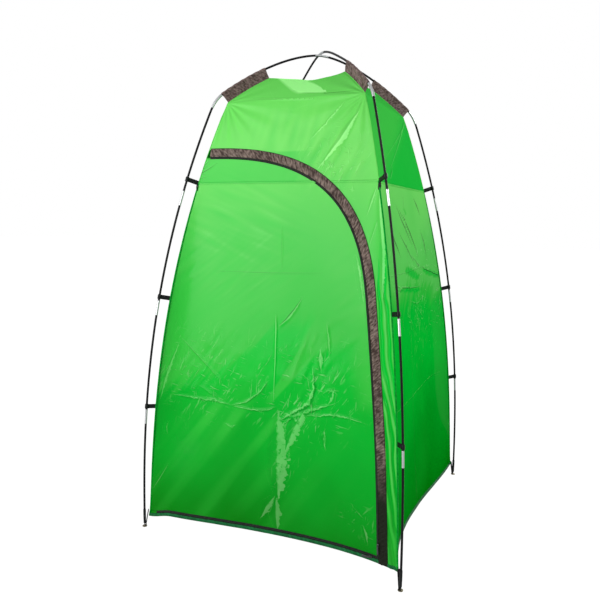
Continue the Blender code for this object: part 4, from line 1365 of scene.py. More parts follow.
class Dresser:
    """Turns bmeshes into finished pieces with a material and a body."""

    def __init__(self) -> None:
        """Builds every finish once."""
        self.materials = {finish: finish.value.build() for finish in Finish}

    def piece(
        self,
        name: str,
        bm: Shape,
        finish: Finish,
        body: Optional[str] = CABIN,
        angle: float = 40,
        slot: Optional[str] = None,
    ) -> Piece:
        """Makes a piece.

        Args:
            name: the piece's name.
            bm: its shape, which is freed.
            finish: its look.
            body: the body that it rides on, or None.
            angle: edges sharper than this many degrees stay hard.
            slot: the record's material slot where it isn't the finish's own; not used.

        Returns:
            The object.
        """
        mesh = bpy.data.meshes.new(name)
        bm.to_mesh(mesh)
        bm.free()
        mesh.shade_smooth()
        mesh.set_sharp_from_angle(angle=math.radians(angle))
        made = bpy.data.objects.new(name, mesh)
        mesh.materials.append(self.materials[finish])
        bpy.context.scene.collection.objects.link(made)
        slot or finish.value.slot
        if body is not None:
            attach(made, body)
        LOG.info("%s: %d faces", name, len(mesh.polygons))
        return made

    def cloth(
        self, name: str, bm: Shape, finish: Finish, wall: Wall, thickness: float, **options: Optional[str]
    ) -> Piece:
        """Makes an open cloth that faces out of its wall, smooth all over.

        Args:
            name: the piece's name.
            bm: its shape, which is freed.
            finish: its look.
            wall: the side that it hangs on.
            thickness: its own thickness.
            options: body and slot, as piece takes them.

        Returns:
            The object.
        """
        face_outwards(bm, wall.outward)
        made = self.piece(name, bm, finish, angle=SMOOTH, **options)
        thicken(made, thickness)
        return made


def gathered(share: float, centre: float, strength: float = 0.5) -> float:
    """Draws evenly spread shares together round a centre, with both ends kept."""
    shift = math.sin(2 * math.pi * (share - centre)) + math.sin(2 * math.pi * centre)
    return share - strength / (2 * math.pi) * shift


def mapped_grid(columns: int, rows: int, place: Callable, size: Pair) -> Shape:
    """Bends a flat grid into a surface.

    Args:
        columns: faces across.
        rows: faces up.
        place: gives the point for (across, up), each 0 to 1.
        size: metres that the UV map spans across and up.

    Returns:
        The surface as a bmesh.
    """
    bm = bmesh.new()
    bmesh.ops.create_grid(bm, x_segments=columns, y_segments=rows, size=0.5)
    shares = {vertex: (vertex.co.x + 0.5, vertex.co.y + 0.5) for vertex in bm.verts}
    layer = bm.loops.layers.uv.new("UVMap")
    for face in bm.faces:
        for loop in face.loops:
            across, up = shares[loop.vert]
            loop[layer].uv = (across * size[0], up * size[1])
    for vertex, (across, up) in shares.items():
        vertex.co = place(across, up)
    return bm


def face_outwards(bm: Shape, outward: Vector) -> None:
    """Turns an open surface round where it faces away from a direction."""
    total = Vector()
    for face in bm.faces:
        face.normal_update()
        total += face.normal * face.calc_area()
    if total.dot(outward) < 0:
        bmesh.ops.reverse_faces(bm, faces=bm.faces)


def thicken(piece: Piece, thickness: float) -> None:
    """Gives a cloth its thickness inwards with a live Solidify."""
    wall = piece.modifiers.new("cloth_thickness", "SOLIDIFY")
    wall.thickness = thickness
    wall.offset = -1.0


def swept(places: Sequence[Matrix], radii: Sequence[float], sides: int, capped: bool = True) -> Shape:
    """Round tube through frames, one radius at each, with UVs along it.

    Args:
        places: frames with Z along the tube.
        radii: the radius at each frame.
        sides: how many faces round.
        capped: closes both ends; otherwise the last frame repeats the first.

    Returns:
        The tube as a bmesh.
    """
    rows = len(places) - 1
    length = sum((one.translation - two.translation).length for one, two in zip(places, places[1:]))

    def place(along: float, turn: float) -> Vector:
        """Point on the ring nearest to a share of the way."""
        index = round(along * rows)
        angle = 2 * math.pi * turn
        return places[index] @ Vector((radii[index] * math.cos(angle), radii[index] * math.sin(angle), 0))

    bm = mapped_grid(rows, sides, place, (length, 2 * math.pi * max(radii)))
    return closed(bm, capped)


def closed(bm: Shape, capped: bool) -> Shape:
    """Joins the meeting edges of a bent grid, and fills its open ends where it has them."""
    bmesh.ops.remove_doubles(bm, verts=bm.verts, dist=1e-6)
    if capped:
        bmesh.ops.holes_fill(bm, edges=[edge for edge in bm.edges if edge.is_boundary], sides=0)
    bmesh.ops.recalc_face_normals(bm, faces=bm.faces)
    return bm


def tube_along(points: Sequence[Vector], radius: float, sides: int = 8) -> Shape:
    """Round cord through points, with closed ends."""
    places = []
    for i, point in enumerate(points):
        along = (points[min(i + 1, len(points) - 1)] - points[max(i - 1, 0)]).normalized()
        side = along.cross(UP if abs(along.z) < 0.9 else Vector((0.3, 0.95, 0))).normalized()
        places.append(framed(point, side, along.cross(side), along))
    return swept(places, [radius] * len(places), sides)


@dataclass
class Poles:
    """Black rods with their silver ferrules and elbows, and the shock cords inside."""

    dresser: Dresser
    rod_radius: float = 0.0045
    ferrule_radius: float = 0.0049
    elbow_radius: float = 0.0057
    tip_radius: float = 0.0056
    tip_low_z: float = 0.014
    tip_reach: float = 0.030
    lip: float = 0.0006
    socket: float = 0.030
    slip: float = 0.0003
    rod_step: float = 0.025
    joints: tuple[float, ...] = (0.433, 0.888, 1.343)
    elbow: float = 1.762
    elbow_half: float = 0.033
    elbow_overlap: float = 0.003
    wall: float = 0.0019
    rod_sides: int = 16
    tip_sides: int = 14
    collar_sides: int = 20

    def build(self) -> None:
        """Builds all twenty rods."""
        starts = (0.0, *[joint + self.slip for joint in self.joints])
        ends = (*self.joints, self.elbow - self.elbow_half + self.socket - self.slip)
        labels = ("foot", "lower", "middle", "upper")
        for corner, leg in LEGS.items():
            for label, start, end in zip(labels, starts, ends):
                steps = max(8, int((end - start) / self.rod_step))
                self._rod(f"pole_{corner}_{label}_rod", leg, spaced(start, end, steps))
                if label != "upper":
                    self._ferrule(f"ferrule_{corner}_{label}", leg, end)
            top = leg.pole.length / 2 - self.slip / 2
            self._rod(f"pole_{corner}_roof_rod", leg, spaced(self.elbow - self.elbow_overlap, top, 34))
            self._elbow(f"elbow_{corner}", leg)
            self._tip(f"pole_tip_{corner}", leg)
        for label, pole in (("ac", UNDER), ("bd", OVER)):
            node = f"centre_ferrule_{label}"
            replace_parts(self._ferrule(f"{node}_tube", Leg(pole), pole.length / 2), node)
            cord = frame["nodes"][f"shock_cord_{label}"]
            cord.data.materials.clear()
            cord.data.materials.append(self.dresser.materials[Finish.SHOCK_CORD])

    def _rod(self, node: str, leg: Leg, runs: Sequence[float]) -> None:
        """Hollow black tube that stands for a rod's node."""
        outer = leg.places(runs)
        radii = [self.rod_radius] * len(runs)
        bore = [self.rod_radius - self.wall] * len(runs)
        bm = swept(outer + outer[::-1] + outer[:1], radii + bore + radii[:1], self.rod_sides, capped=False)
        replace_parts(self.dresser.piece(f"{node}_tube", bm, Finish.ROD_BLACK), node)

    def _tip(self, name: str, leg: Leg) -> None:
        """Black cap on the end of a pole, down over its pin."""
        base = leg.places([0.0])[0]
        drop = Matrix.Translation(UP * (self.tip_low_z - base.translation.z))
        places = [drop @ base, drop @ base, base] + leg.places([self.tip_reach, self.tip_reach])
        out = self.tip_radius
        radii = [out * 0.7, out * 0.9, out, out, self.rod_radius]
        self.dresser.piece(name, swept(places, radii, self.tip_sides), Finish.CLIP_BLACK, angle=60)

    def _ferrule(self, name: str, leg: Leg, middle: float) -> Piece:
        """Straight silver tube with rolled lips over the joint at a run."""
        lip, out = self.lip, self.ferrule_radius
        start, end = middle - self.socket, middle + self.socket
        steps = (0, lip, 4 * lip, 5 * lip)
        runs = [start, *[start + step for step in steps], (start + end) / 2]
        runs += [*[end - step for step in steps[::-1]], end]
        half = [self.rod_radius + self.slip, out - lip / 2, out, out, out - lip / 3]
        return self._collar(name, leg, runs, half + [out - lip / 3] + half[::-1], [runs[5], start])

    def _elbow(self, name: str, leg: Leg) -> None:
        """Bent silver fitting at the lower end of a roof rod."""
        lip, out = self.lip, self.elbow_radius
        low, high = self.elbow - self.elbow_half, self.elbow + self.elbow_half
        runs = [low, low, low + lip, *spaced(low + 4 * lip, high - 4 * lip, 12), high - lip, high, high]
        half = [self.rod_radius + self.slip, out - lip / 2, out]
        radii = half + [out - lip / 3] * 13 + half[::-1]
        self._collar(name, leg, runs, radii, spaced(high, low, 8)[1:])

    def _collar(
        self, name: str, leg: Leg, runs: Sequence[float], radii: Sequence[float], back: Sequence[float]
    ) -> Piece:
        """Silver tube over a joint.

        Args:
            name: the piece's name.
            leg: the leg that it sits on.
            runs: the runs of its outer profile.
            radii: the radius at each.
            back: the runs of its bore, the other way.

        Returns:
            The piece.
        """
        bore = [self.rod_radius + self.slip] * len(back)
        bm = swept(leg.places([*runs, *back]), [*radii, *bore], self.collar_sides, capped=False)
        return self.dresser.piece(name, bm, Finish.BRIGHT_STEEL, angle=60)


def mark_folds(bm: Shape, wall: Wall) -> Shape:
    """Marks a wall's cloth where it is creased and crumpled, and where highlights, shade and sheen are painted.

    Args:
        bm: the cloth.
        wall: the side that it hangs on.

    Returns:
        The same bmesh.
    """
    back = wall.turn.inverted()
    names = ("side", "glint", "shade", "ragged", "crush", "bloom")
    layers = [bm.verts.layers.float.new(name) for name in names]
    for vertex in bm.verts:
        local = back @ vertex.co
        for layer, value in zip(layers, CLOTH.marks(wall, local.x, local.z)):
            vertex[layer] = value
    return bm


@dataclass
class Cabin:
    """Green walls, door, hem binding and corner piping."""

    dresser: Dresser
    thickness: float = 0.0004
    lap: float = 0.004
    lower: tuple[int, int] = (120, 150)
    upper: tuple[int, int] = (120, 72)
    front_upper: tuple[int, int] = (190, 120)
    side: tuple[int, int] = (44, 250)
    door: tuple[int, int] = (196, 246)
    sill: tuple[int, int] = (160, 4)
    lower_flat: Pair = (1.16, 1.45)
    upper_flat: Pair = (0.80, 0.52)
    side_flat: Pair = (0.24, 1.40)
    door_flat: Pair = (1.10, 1.50)
    sill_flat: Pair = (1.16, 0.03)
    band: tuple[int, int] = (170, 5)
    corner_reach: float = 0.035
    crossing_share: float = 0.72
    shoulder_share: float = 0.80
    gather: Pair = (0.52, 0.36)
    hem_reach: Pair = (-0.001, 0.012)
    hem_lift: Pair = (0.0007, 0.0006)
    hem_thickness: float = 0.0018
    seam_lift: Pair = (0.0003, 0.0004)
    seam_thickness: float = 0.0005
    sill_lap: float = 0.006
    sill_sink: float = 0.0009
    seam_half: float = 0.005
    blend_start: float = 0.006
    blend_reach: float = 0.10

    def build(self) -> None:
        """Builds every cloth of the cabin."""
        panels = (
            ("lower", (LINES.hem_z, LINES.seam_z), self.lower, self.lower_flat),
            ("upper", (LINES.seam_z, SLEEVE_TOP), self.upper, self.upper_flat),
        )
        for wall in (Wall.LEFT, Wall.BACK, Wall.RIGHT):
            for label, levels, faces, flat in panels:
                node = f"{wall.label}_{label}_panel"
                self._level_cloth(f"{node}_cloth", wall, levels, faces, [node])
        self._front_upper()
        self._front_side()
        self._sill()
        self._door()
        for wall in Wall:
            self._seam_band(wall)
            self._hem_binding(wall)
            self._top_binding(wall)
        self._piping()

    def _cloth(
        self,
        name: str,
        faces: tuple[int, int],
        place: Callable[[float, float], Vector],
        wall: Wall,
        nodes: Sequence[str] = (),
        body: Optional[str] = CABIN,
    ) -> Piece:
        """One green cloth.

        Args:
            name: the piece's name.
            faces: how many faces across and up.
            place: gives the point for (across, up).
            wall: the side that it hangs on.
            nodes: CAD nodes that it stands for.
            body: the body that it rides on, or None.

        Returns:
            The piece.
        """
        bm = mark_folds(mapped_grid(*faces, place, (1, 1)), wall)
        piece = self.dresser.cloth(name, bm, Finish.GREEN_FABRIC, wall, self.thickness, body=body)
        if nodes:
            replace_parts(piece, *nodes)
        return piece

    def _level_cloth(
        self,
        name: str,
        wall: Wall,
        levels: Pair,
        faces: tuple[int, int],
        nodes: Sequence[str] = (),
        lift: float = 0.0,
    ) -> Piece:
        """Green cloth from corner to corner of a wall.

        Args:
            name: the piece's name.
            wall: the side that it hangs on.
            levels: its lowest and highest level.
            faces: how many faces across and up.
            nodes: CAD nodes that it stands for.
            lift: how far outside the wall's surface it lies.

        Returns:
            The piece.
        """

        def place(across: float, up: float) -> Vector:
            """Point of the cloth."""
            return CLOTH.point(wall, 2 * across - 1, LINES.level_between(*levels, up), lift)

        return self._cloth(name, faces, place, wall, nodes)

    @property
    def _inset(self) -> float:
        """Place of the fixed cloth's edge below the flap."""
        return DOORWAY.flap_width / 2 - self.lap

    def _front_upper(self) -> None:
        """Front panel between the flap and the roof opening."""
        inset = self._inset
        crossing = DOORWAY.share_at_z(LINES.seam_z, inset)
        split = self.crossing_share

        @lru_cache(maxsize=None)
        def foot(across: float) -> Pair:
            """Place of the lower edge as a share of the width, and its height."""
            if across < split:
                point = DOORWAY.beside(1 + (crossing - 1) * across / split, inset)
                drawn_out = self.corner_reach * (1 - across / split) ** 8
                return max(-1.0, point.x / LINES.half_width(point.y) - drawn_out), point.y
            edge = DOORWAY.beside(crossing, inset)
            start = edge.x / LINES.half_width(edge.y)
            return start + (1 - start) * (across - split) / (1 - split), LINES.seam_z

        def place(across: float, up: float) -> Vector:
            """Point of the panel."""
            side, low = foot(across)
            top = 2 * across - 1
            level = LINES.level_between(low, SLEEVE_TOP, up)
            return CLOTH.point(Wall.FRONT, side + (top - side) * up * up * (2 - up), level)

        piece = self._cloth("front_upper_cloth", self.front_upper, place, Wall.FRONT, ["front_upper_panel"])

    def _front_side(self) -> None:
        """Narrow fixed cloth between the flap and corner b."""
        inset = self._inset

        def place(across: float, up: float) -> Vector:
            """Point of the cloth."""
            z = LINES.hem_z + (LINES.seam_z - LINES.hem_z) * up
            share = DOORWAY.share_at_z(z, inset) if z > LINES.hem_z + 0.004 else 0.0
            start = DOORWAY.beside(share, inset).x / LINES.half_width(z)
            return CLOTH.point(Wall.FRONT, start + (1 - start) * across, z)

        piece = self._cloth("front_side_cloth", self.side, place, Wall.FRONT, ["front_lower_frame"])

    def _sill(self) -> None:
        """Cloth below the hem zip."""
        levels = (LINES.hem_z, DOORWAY.zip_z + self.sill_lap)
        piece = self._level_cloth("front_sill_cloth", Wall.FRONT, levels, self.sill, lift=-self.sill_sink)

    def _door(self) -> None:
        """Door cloth from corner a's seam to the zip."""
        offset = DOORWAY.coil_offset
        foot_z = DOORWAY.zip_z + DOORWAY.coil_width / 2 - 0.001
        low = DOORWAY.share_at_z(foot_z, offset)
        shoulder = self.shoulder_share

        def flat(point: Vector) -> Vector:
            """The same place as a share of the wall's width, with its height."""
            return Vector((point.x / LINES.half_width(point.y), point.y))

        end = flat(DOORWAY.beside(1.0, offset))

        @lru_cache(maxsize=None)
        def right(up: float) -> Vector:
            """Point of the right edge."""
            return flat(DOORWAY.beside(low + (shoulder - low) * up, offset))

        @lru_cache(maxsize=None)
        def top(across: float) -> Vector:
            """Point of the top edge, drawn out to the corner seam."""
            point = flat(DOORWAY.beside(1 + (shoulder - 1) * across, offset))
            return Vector((point.x - (1 + end.x) * (1 - across) ** 8, point.y))

        corner_low, corner_high = Vector((-1, foot_z)), Vector((-1, end.y))

        def place(across: float, up: float) -> Vector:
            """Point of the door, spanned between its four edges."""
            across, up = gathered(across, self.gather[0]), gathered(up, self.gather[1])
            low_edge = corner_low.lerp(right(0), across)
            ruled = low_edge.lerp(top(across), up) + corner_low.lerp(corner_high, up).lerp(right(up), across)
            point = ruled - low_edge.lerp(corner_high.lerp(right(1), across), up)
            return CLOTH.point(Wall.FRONT, point.x, point.y)

        nodes = ["door_lower_panel", "door_upper_panel"]
        piece = self._cloth("door_cloth", self.door, place, Wall.FRONT, nodes, None)
        self.blend_door(piece)

    def blend_door(self, piece: Piece) -> None:
        """Bakes the transform of a piece that crosses the door's fold line into its mesh; it reads the door's
        hinge but bends nothing.
        """
        joint = next(joint for joint in frame["joints"] if joint["name"] == "door_swing")
        base = Vector(joint["pos_m"])
        axis = Vector(joint["axis"]).normalized()
        along = Vector((1, 0, 0))
        along = (along - axis * along.dot(axis)).normalized()
        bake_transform(piece)

    def _band(
        self,
        name: str,
        wall: Wall,
        spans: tuple[float, float, float, float],
        lift: Pair,
        finish: Finish,
        thickness: float,
        body: Optional[str] = CABIN,
    ) -> Piece:
        """Narrow sewn band along a level of a wall.

        Args:
            name: the piece's name.
            wall: the side of the cabin.
            spans: first and last place across, and lowest and highest z.
            lift: distance outside the cloth at the edges, and what the middle adds.
            finish: the band's look.
            thickness: its own thickness.
            body: the body that it rides on, or None.

        Returns:
            The piece.
        """
        start, end, low, high = spans

        def place(across: float, up: float) -> Vector:
            """Point of the band."""
            rise = lift[0] + lift[1] * math.sin(math.pi * up)
            return CLOTH.point(wall, start + (end - start) * across, low + (high - low) * up, rise)

        length = (place(1, 0.5) - place(0, 0.5)).length
        bm = mark_folds(mapped_grid(*self.band, place, (length, high - low)), wall)
        return self.dresser.cloth(name, bm, finish, wall, thickness, body=body)

    def _seam_band(self, wall: Wall) -> None:
        """Felled seam between the lower and upper panels."""
        low, high = LINES.seam_z - self.seam_half, LINES.seam_z + self.seam_half
        spans = [(-1.0, 1.0, CABIN)]
        if wall is Wall.FRONT:
            half = LINES.half_width(LINES.seam_z)
            edges = []
            for side in (-1, 1):
                offset = side * DOORWAY.flap_width / 2
                edges.append(DOORWAY.beside(DOORWAY.share_at_z(LINES.seam_z, offset), offset).x / half)
            spans = [(-1.0, edges[0], None), (edges[1], 1.0, CABIN)]
        for index, (start, end, body) in enumerate(spans):
            name = f"{wall.label}_seam_{index + 1}"
            looks = (self.seam_lift, Finish.GREEN_SEAM, self.seam_thickness)
            piece = self._band(name, wall, (start, end, low, high), *looks, body)
            if body is None:
                self.blend_door(piece)

    def _hem_binding(self, wall: Wall) -> None:
        """Folded dark band round the hem."""
        name = f"{wall.label}_hem_binding"
        spans = (-1.0, 1.0, LINES.hem_z + self.hem_reach[0], LINES.hem_z + self.hem_reach[1])
        self._band(name, wall, spans, self.hem_lift, Finish.GREEN_TRIM, self.hem_thickness)

    def _top_binding(self, wall: Wall) -> None:
        """Rolled edge of the roof opening."""
        points = [CLOTH.point(wall, across, SLEEVE_TOP) for across in spaced(-0.995, 0.995, 120)]
        name = f"{wall.label}_top_binding"
        bm = mark_folds(tube_along(points, 0.0014), wall)
        self.dresser.piece(name, bm, Finish.GREEN_FABRIC, angle=SMOOTH)

    def _piping(self) -> None:
        """Raised corner seams from hem to roof."""
        upper = spaced(LINES.seam_z, LINES.leg_top_z, 16) + spaced(SLEEVE_FOOT, SLEEVE_TOP, 24)
        runs = (
            ("lower", spaced(LINES.hem_z, LINES.seam_z, 64), 0.0034, Finish.DARK_SEAM),
            ("upper", upper, 0.0016, Finish.GREEN_FABRIC),
        )
        for corner, (x, y) in CORNERS.items():
            outward = Vector((x, y, 0)).normalized()
            for label, levels, radius, finish in runs:
                points = []
                for level in levels:
                    reach, z = LINES.corner(level)
                    z -= CLOTH.drop(1.0, z) if corner == "a" else 0.0
                    points.append(outward * (reach + 0.0011 - radius) + UP * z)
                bm = tube_along(points, radius)
                if finish is Finish.GREEN_FABRIC:
                    mark_folds(bm, Wall.FRONT)
                self.dresser.piece(f"corner_seam_{corner}_{label}", bm, finish, angle=SMOOTH)


@dataclass
class Sleeves:
    """Brown pole sleeves with a puckered fin down to the roof cloth."""

    dresser: Dresser
    bore: float = 0.0051
    play: float = 0.0010
    pucker: float = 0.0011
    fin_edge: float = 0.0011
    fin_share: float = 0.36
    steps: int = 70
    sides: int = 44

    def build(self) -> None:
        """Builds the four sleeves."""
        for corner in CORNERS:
            self._sleeve(corner)

    def _section(self, turn: float, share: float, seed: float) -> Vector:
        """Point of the outline round the pole and down the fin.

        Args:
            turn: share of the way round the outline, starting at the fin's foot.
            share: share of the way up the sleeve.
            seed: makes each sleeve's creases its own.

        Returns:
            The point in the pole's frame.
        """
        outside = self.bore + self.play
        if self.fin_share < turn < 1 - self.fin_share:
            angle = math.radians(200 - 220 * (turn - self.fin_share) / (1 - 2 * self.fin_share))
            loose = outside + 0.0005 * math.sin(share * 40 + 3 * angle + seed)
            return Vector((loose * math.cos(angle), loose * math.sin(angle), 0))
        side = -1 if turn < 0.5 else 1
        down = 1 - min(turn, 1 - turn) / self.fin_share * 0.86
        ripple = math.sin(share * 21 + seed + 4 * down) + 0.7 * math.sin(share * 47 + 2 * seed - 5 * down)
        wave = self.pucker * ripple * math.sin(math.pi * down)
        half = self.fin_edge + (outside * 0.75 - self.fin_edge) * (1 - down) ** 2
        return Vector((wave + side * half, -LINES.sleeve_width * down, 0))

    def _sleeve(self, corner: str) -> None:
        """One sleeve, closed at both ends round its pole."""
        leg = LEGS[corner]
        first = leg.pole.run_at_radius(LINES.sleeve_outer_radius)
        last = leg.pole.run_at_radius(LINES.sleeve_top_radius)
        seed = float(ord(corner))
        places = leg.places(spaced(first, last, self.steps))

        def place(along: float, turn: float) -> Vector:
            """Point of the sleeve."""
            index = round(along * self.steps)
            return places[index] @ self._section(turn % 1.0, along, seed)

        bm = closed(mapped_grid(self.steps, self.sides, place, (last - first, 0.08)), True)
        piece = self.dresser.piece(f"sleeve_{corner}_cloth", bm, Finish.BROWN_SLEEVE, angle=50)
        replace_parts(piece, f"pole_sleeve_{corner}")


@dataclass
class FlapAndZip:
    """Brown storm flap along the arched zip, and the zip's coil."""

    dresser: Dresser
    proud: float = 0.0020
    edge: float = 0.0010
    edge_lift: float = 0.0012
    coil_lift: float = 0.0006
    coil_share: float = 0.28
    coil_sides: int = 10
    tape_lift: float = 0.0004
    flap_lift: float = 0.0008
    tape: float = 0.011
    thickness: float = 0.0006
    length: float = 2.6
    pucker_height: float = 0.0014
    fold_height: float = 0.0040
    foot_width: float = 0.14
    rows: int = 1150

    def build(self) -> None:
        """Builds the flap, its piped edges and both stretches of the coil."""
        self._flap()
        self._edges()
        self._coil()

    def _wrinkle(self, share: float, across: float) -> float:
        """Height of the flap's slanting puckers."""
        run = share * self.length
        slant = 0.45 * math.sin(470 * run - 8.0 * across) + 0.65 * math.sin(263 * run - 5.0 * across + 1.0)
        patchy = 0.45 + 0.9 * waver(run * 3.1, 5.0, 0.4 * across)
        long_fold = waver(across * 1.6, 11.0, run * 2.2) * rising(share, 0.42, -0.1)
        return (self.pucker_height * slant * patchy + self.fold_height * long_fold) * (1 - across**4)

    def _flap(self) -> None:
        """The brown band itself."""
        half = DOORWAY.flap_width / 2

        def place(up: float, across: float) -> Vector:
            """Point of the flap."""
            side = 2 * across - 1
            point = DOORWAY.beside(up, side * half * (1 + self.foot_width * rising(up, 0.45, -0.25)))
            roll = self.proud * (1 - side**4) + self._wrinkle(up, side)
            return CLOTH.front(point.x, point.y, self.flap_lift + max(0.0, roll))

        bm = mapped_grid(self.rows, 14, place, (self.length, DOORWAY.flap_width))
        piece = self.dresser.cloth("storm_flap_cloth", bm, Finish.BROWN_FABRIC, Wall.FRONT, self.thickness)
        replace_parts(piece, "storm_flap")

    def _edges(self) -> None:
        """Dark piped edges on both sides of the flap."""
        for label, side in (("outer", 1), ("inner", -1)):
            offset = side * DOORWAY.flap_width / 2
            line = [DOORWAY.beside(share, offset) for share in spaced(0, 1, 260)]
            bm = tube_along(self._on_front(line, self.edge_lift), self.edge)
            self.dresser.piece(f"flap_{label}_edge", bm, Finish.DARK_PIPING, angle=SMOOTH)

    @staticmethod
    def _on_front(line: Sequence[Vector], lift: float) -> list[Vector]:
        """Points just outside the front wall along a line in its (x, z)."""
        return [CLOTH.front(point.x, point.y, lift) for point in line]

    def _coil(self) -> None:
        """Half-round black coil on its tape, along the flap and along the hem."""
        offset = DOORWAY.coil_offset
        start = DOORWAY.share_at_z(DOORWAY.zip_z, offset)
        arch = [DOORWAY.beside(share, offset) for share in spaced(start, 1.0, 320)]
        hem = [Vector((x, DOORWAY.zip_z)) for x in spaced(DOORWAY.zip_left_x, arch[0].x, 160)]
        for label, line in (("arch", arch), ("hem", hem)):
            coil = self._on_front(line, self.coil_lift)
            bm = tube_along(coil, DOORWAY.coil_width * self.coil_share, self.coil_sides)
            piece = self.dresser.piece(f"{label}_zip_coil", bm, Finish.ZIP_BLACK, angle=SMOOTH)
            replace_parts(piece, "zip_coil")
            self._tape(label, line)

    def _tape(self, label: str, line: Sequence[Vector]) -> None:
        """Woven tape under a stretch of coil."""
        count = len(line) - 1

        def place(along: float, across: float) -> Vector:
            """Point of the tape."""
            index = round(along * count)
            step = (line[min(index + 1, count)] - line[max(index - 1, 0)]).normalized()
            point = line[index] + Vector((step.y, -step.x)) * (across - 0.5) * self.tape
            return CLOTH.front(point.x, point.y, self.tape_lift)

        bm = mapped_grid(count, 4, place, (1.0, self.tape))
        looks = (Finish.BLACK_WEBBING, Wall.FRONT, self.thickness)
        self.dresser.cloth(f"{label}_zip_tape", bm, *looks, slot="zip_black")


@dataclass
class Fittings:
    """Clips, feet, sliders and guy-line loops."""

    dresser: Dresser
    bevel: float = 0.0004
    loop_z: float = 1.428
    loop_length: float = 0.026
    loop_width: float = 0.010
    loop_thickness: float = 0.0012
    ring_z: float = 0.010

    def build(self) -> None:
        """Dresses the carried-over fittings and adds the loops."""
        for corner in CORNERS:
            for index in (1, 2, 3):
                self._dress(f"clip_{corner}_{index}", Finish.CLIP_BLACK)
            self._blacken(self._dress(f"foot_{corner}", Finish.FOOT_STEEL))
        for corner in "ab":
            self._guy_loop(corner)
        for zipper in ("arch", "hem"):
            for thing in ("slider", "pull"):
                self._dress(f"{zipper}_zip_{thing}", Finish.SLIDER_METAL, f"{zipper}_{thing}")

    def _blacken(self, foot: Piece) -> None:
        """Gives the strap and pin above the ground ring a black finish."""
        foot.data.materials.append(self.dresser.materials[Finish.BLACK_WEBBING])
        for polygon in foot.data.polygons:
            polygon.material_index = int(polygon.center.z > self.ring_z)

    def _guy_loop(self, corner: str) -> None:
        """Folded webbing loop on the corner seam just below the top clip."""
        outward = Vector((*CORNERS[corner], 0)).normalized()
        side = outward.cross(UP)

        def place(around: float, across: float) -> Vector:
            """Point of the strap, which runs down outside and back up inside."""
            turn = 2 * math.pi * (around - 0.25)
            out = 0.0035 + 0.0030 * math.cos(turn)
            radius = LINES.seam_radius(self.loop_z) + out
            drop = self.loop_length * 0.5 * (1 + math.sin(turn))
            return outward * radius + side * (across - 0.5) * self.loop_width + UP * (self.loop_z - drop)

        bm = closed(mapped_grid(28, 3, place, (0.06, self.loop_width)), False)
        piece = self.dresser.piece(f"guy_loop_{corner}", bm, Finish.BLACK_WEBBING, angle=60)
        thicken(piece, self.loop_thickness)

    def _dress(self, node: str, finish: Finish, body: str = CABIN) -> Piece:
        """Replaces a small CAD node by a copy with softened edges."""
        bm = bmesh.new()
        bm.from_mesh(frame["nodes"][node].data)
        bmesh.ops.remove_doubles(bm, verts=bm.verts, dist=1e-6)
        bmesh.ops.dissolve_limit(bm, angle_limit=math.radians(2), verts=bm.verts, edges=bm.edges)
        sharp = [edge for edge in bm.edges if edge.is_manifold and edge.calc_face_angle() > math.radians(50)]
        rounding = {"segments": 2, "profile": 0.5, "affect": "EDGES", "material": -1, "clamp_overlap": True}
        bmesh.ops.bevel(bm, geom=sharp, offset=self.bevel, **rounding)
        bm.loops.layers.uv.new("UVMap")
        piece = self.dresser.piece(f"{node}_fine", bm, finish, body, 50)
        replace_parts(piece, node)
        return piece


@dataclass(frozen=True)
class SoftBox:
    """Area lamp aimed at the tent's axis.

    Args:
        name: the lamp's name.
        place: where it stands.
        size: its width and height.
        power: watts.
        aim_z: the height that it points at.
    """

    name: str
    place: Triple
    size: Pair
    power: float
    aim_z: float = 1.0

    def build(self) -> None:
        """Makes the lamp."""
        data = bpy.data.lights.new(self.name, "AREA")
        data.shape = "RECTANGLE"
        data.size, data.size_y = self.size
        data.energy = self.power
        lamp = bpy.data.objects.new(self.name, data)
        lamp.location = self.place
        aim = Vector((0, 0, self.aim_z)) - Vector(self.place)
        lamp.rotation_euler = aim.to_track_quat("-Z", "Y").to_euler()
        lamp.visible_camera = False
        bpy.context.scene.collection.objects.link(lamp)


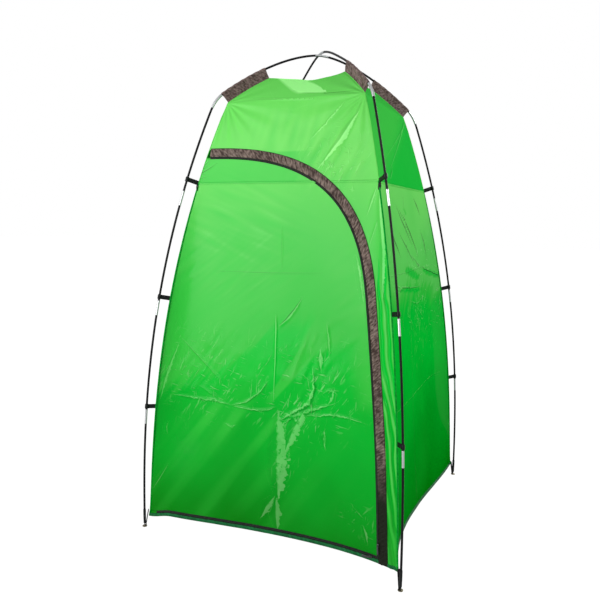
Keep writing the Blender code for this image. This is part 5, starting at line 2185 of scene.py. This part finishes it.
@dataclass(frozen=True)
class Studio:
    """Camera, floor and lamps."""

    eye: Triple = (1.0046457, -2.5409027, 1.2915157)
    yaw: float = -0.4053314
    pitch: float = 0.1300926
    roll: float = 0.0129431
    focal: float = 612.318
    image: int = 600
    sensor: float = 36.0
    world_light: float = 0.42
    floor_colour: Triple = (0.93, 0.93, 0.93)
    floor_glow: float = 1.08
    floor_seen: float = 0.93
    lamps: tuple[SoftBox, ...] = (
        SoftBox("key", (-1.65, -3.7, 2.45), (2.4, 4.1), 240, 2.2),
        SoftBox("side", (3.6, 0.2, 2.6), (1.6, 1.6), 100),
        SoftBox("back", (0.4, 4.0, 2.4), (2.4, 1.6), 60),
    )

    def build(self) -> None:
        """Sets up the whole studio."""
        bpy.context.scene.view_settings.view_transform = "Standard"
        self._camera()
        self._floor()
        self._world()
        for lamp in self.lamps:
            lamp.build()

    def _camera(self) -> None:
        """Camera from the fitted view of the photograph."""
        cos_yaw, sin_yaw = math.cos(self.yaw), math.sin(self.yaw)
        cos_pitch, sin_pitch = math.cos(self.pitch), math.sin(self.pitch)
        forward = Vector((sin_yaw * cos_pitch, cos_yaw * cos_pitch, -sin_pitch))
        level = Vector((cos_yaw, -sin_yaw, 0))
        raised = level.cross(forward)
        right = math.cos(self.roll) * level + math.sin(self.roll) * raised
        up = -math.sin(self.roll) * level + math.cos(self.roll) * raised
        data = bpy.data.cameras.new("camera")
        data.sensor_width = self.sensor
        data.lens = self.focal / self.image * self.sensor
        camera = bpy.data.objects.new("camera", data)
        camera.matrix_world = framed(self.eye, right, up, -forward)
        bpy.context.scene.collection.objects.link(camera)
        bpy.context.scene.camera = camera

    @staticmethod
    def _seen(book: Book) -> Socket:
        """1 for rays that show the background straight, in a reflection or through glass."""
        path = book.node("LightPath").outputs
        rays = (path["Is Camera Ray"], path["Is Glossy Ray"], path["Is Transmission Ray"])
        return reduce(partial(book.math, "MAXIMUM"), rays)

    def _floor(self) -> None:
        """Wide pale floor that keeps a faint shadow."""
        bm = bmesh.new()
        bmesh.ops.create_grid(bm, x_segments=2, y_segments=2, size=30)
        mesh = bpy.data.meshes.new("studio_floor")
        bm.to_mesh(mesh)
        bm.free()
        book = Book("studio_floor")
        matte = book.node("BsdfDiffuse", Color=(*self.floor_colour, 1))
        glow = book.node("Emission", Color=(1, 1, 1, 1), Strength=self.floor_glow)
        share = book.product(self._seen(book), self.floor_seen)
        shader = book.node("MixShader", _0=share, _1=matte.outputs[0], _2=glow.outputs[0])
        mesh.materials.append(book.finish(shader))
        floor = bpy.data.objects.new("studio_floor", mesh)
        bpy.context.scene.collection.objects.link(floor)

    def _world(self) -> None:
        """Soft even light, white where it is seen."""
        book = Book("studio", world=True)
        strength = book.fit(self._seen(book), 0, 1, self.world_light, 1.0)
        bpy.context.scene.world = book.finish(book.node("Background", Color=(1, 1, 1, 1), Strength=strength))


def main() -> None:
    """Builds the studio and every piece."""
    logging.basicConfig(level=logging.INFO, format="%(message)s")
    Studio().build()
    dresser = Dresser()
    for part in (Poles(dresser), Cabin(dresser), Sleeves(dresser), FlapAndZip(dresser), Fittings(dresser)):
        part.build()
        LOG.info("built %s", type(part).__name__)


if __name__ == "__main__":
    main()
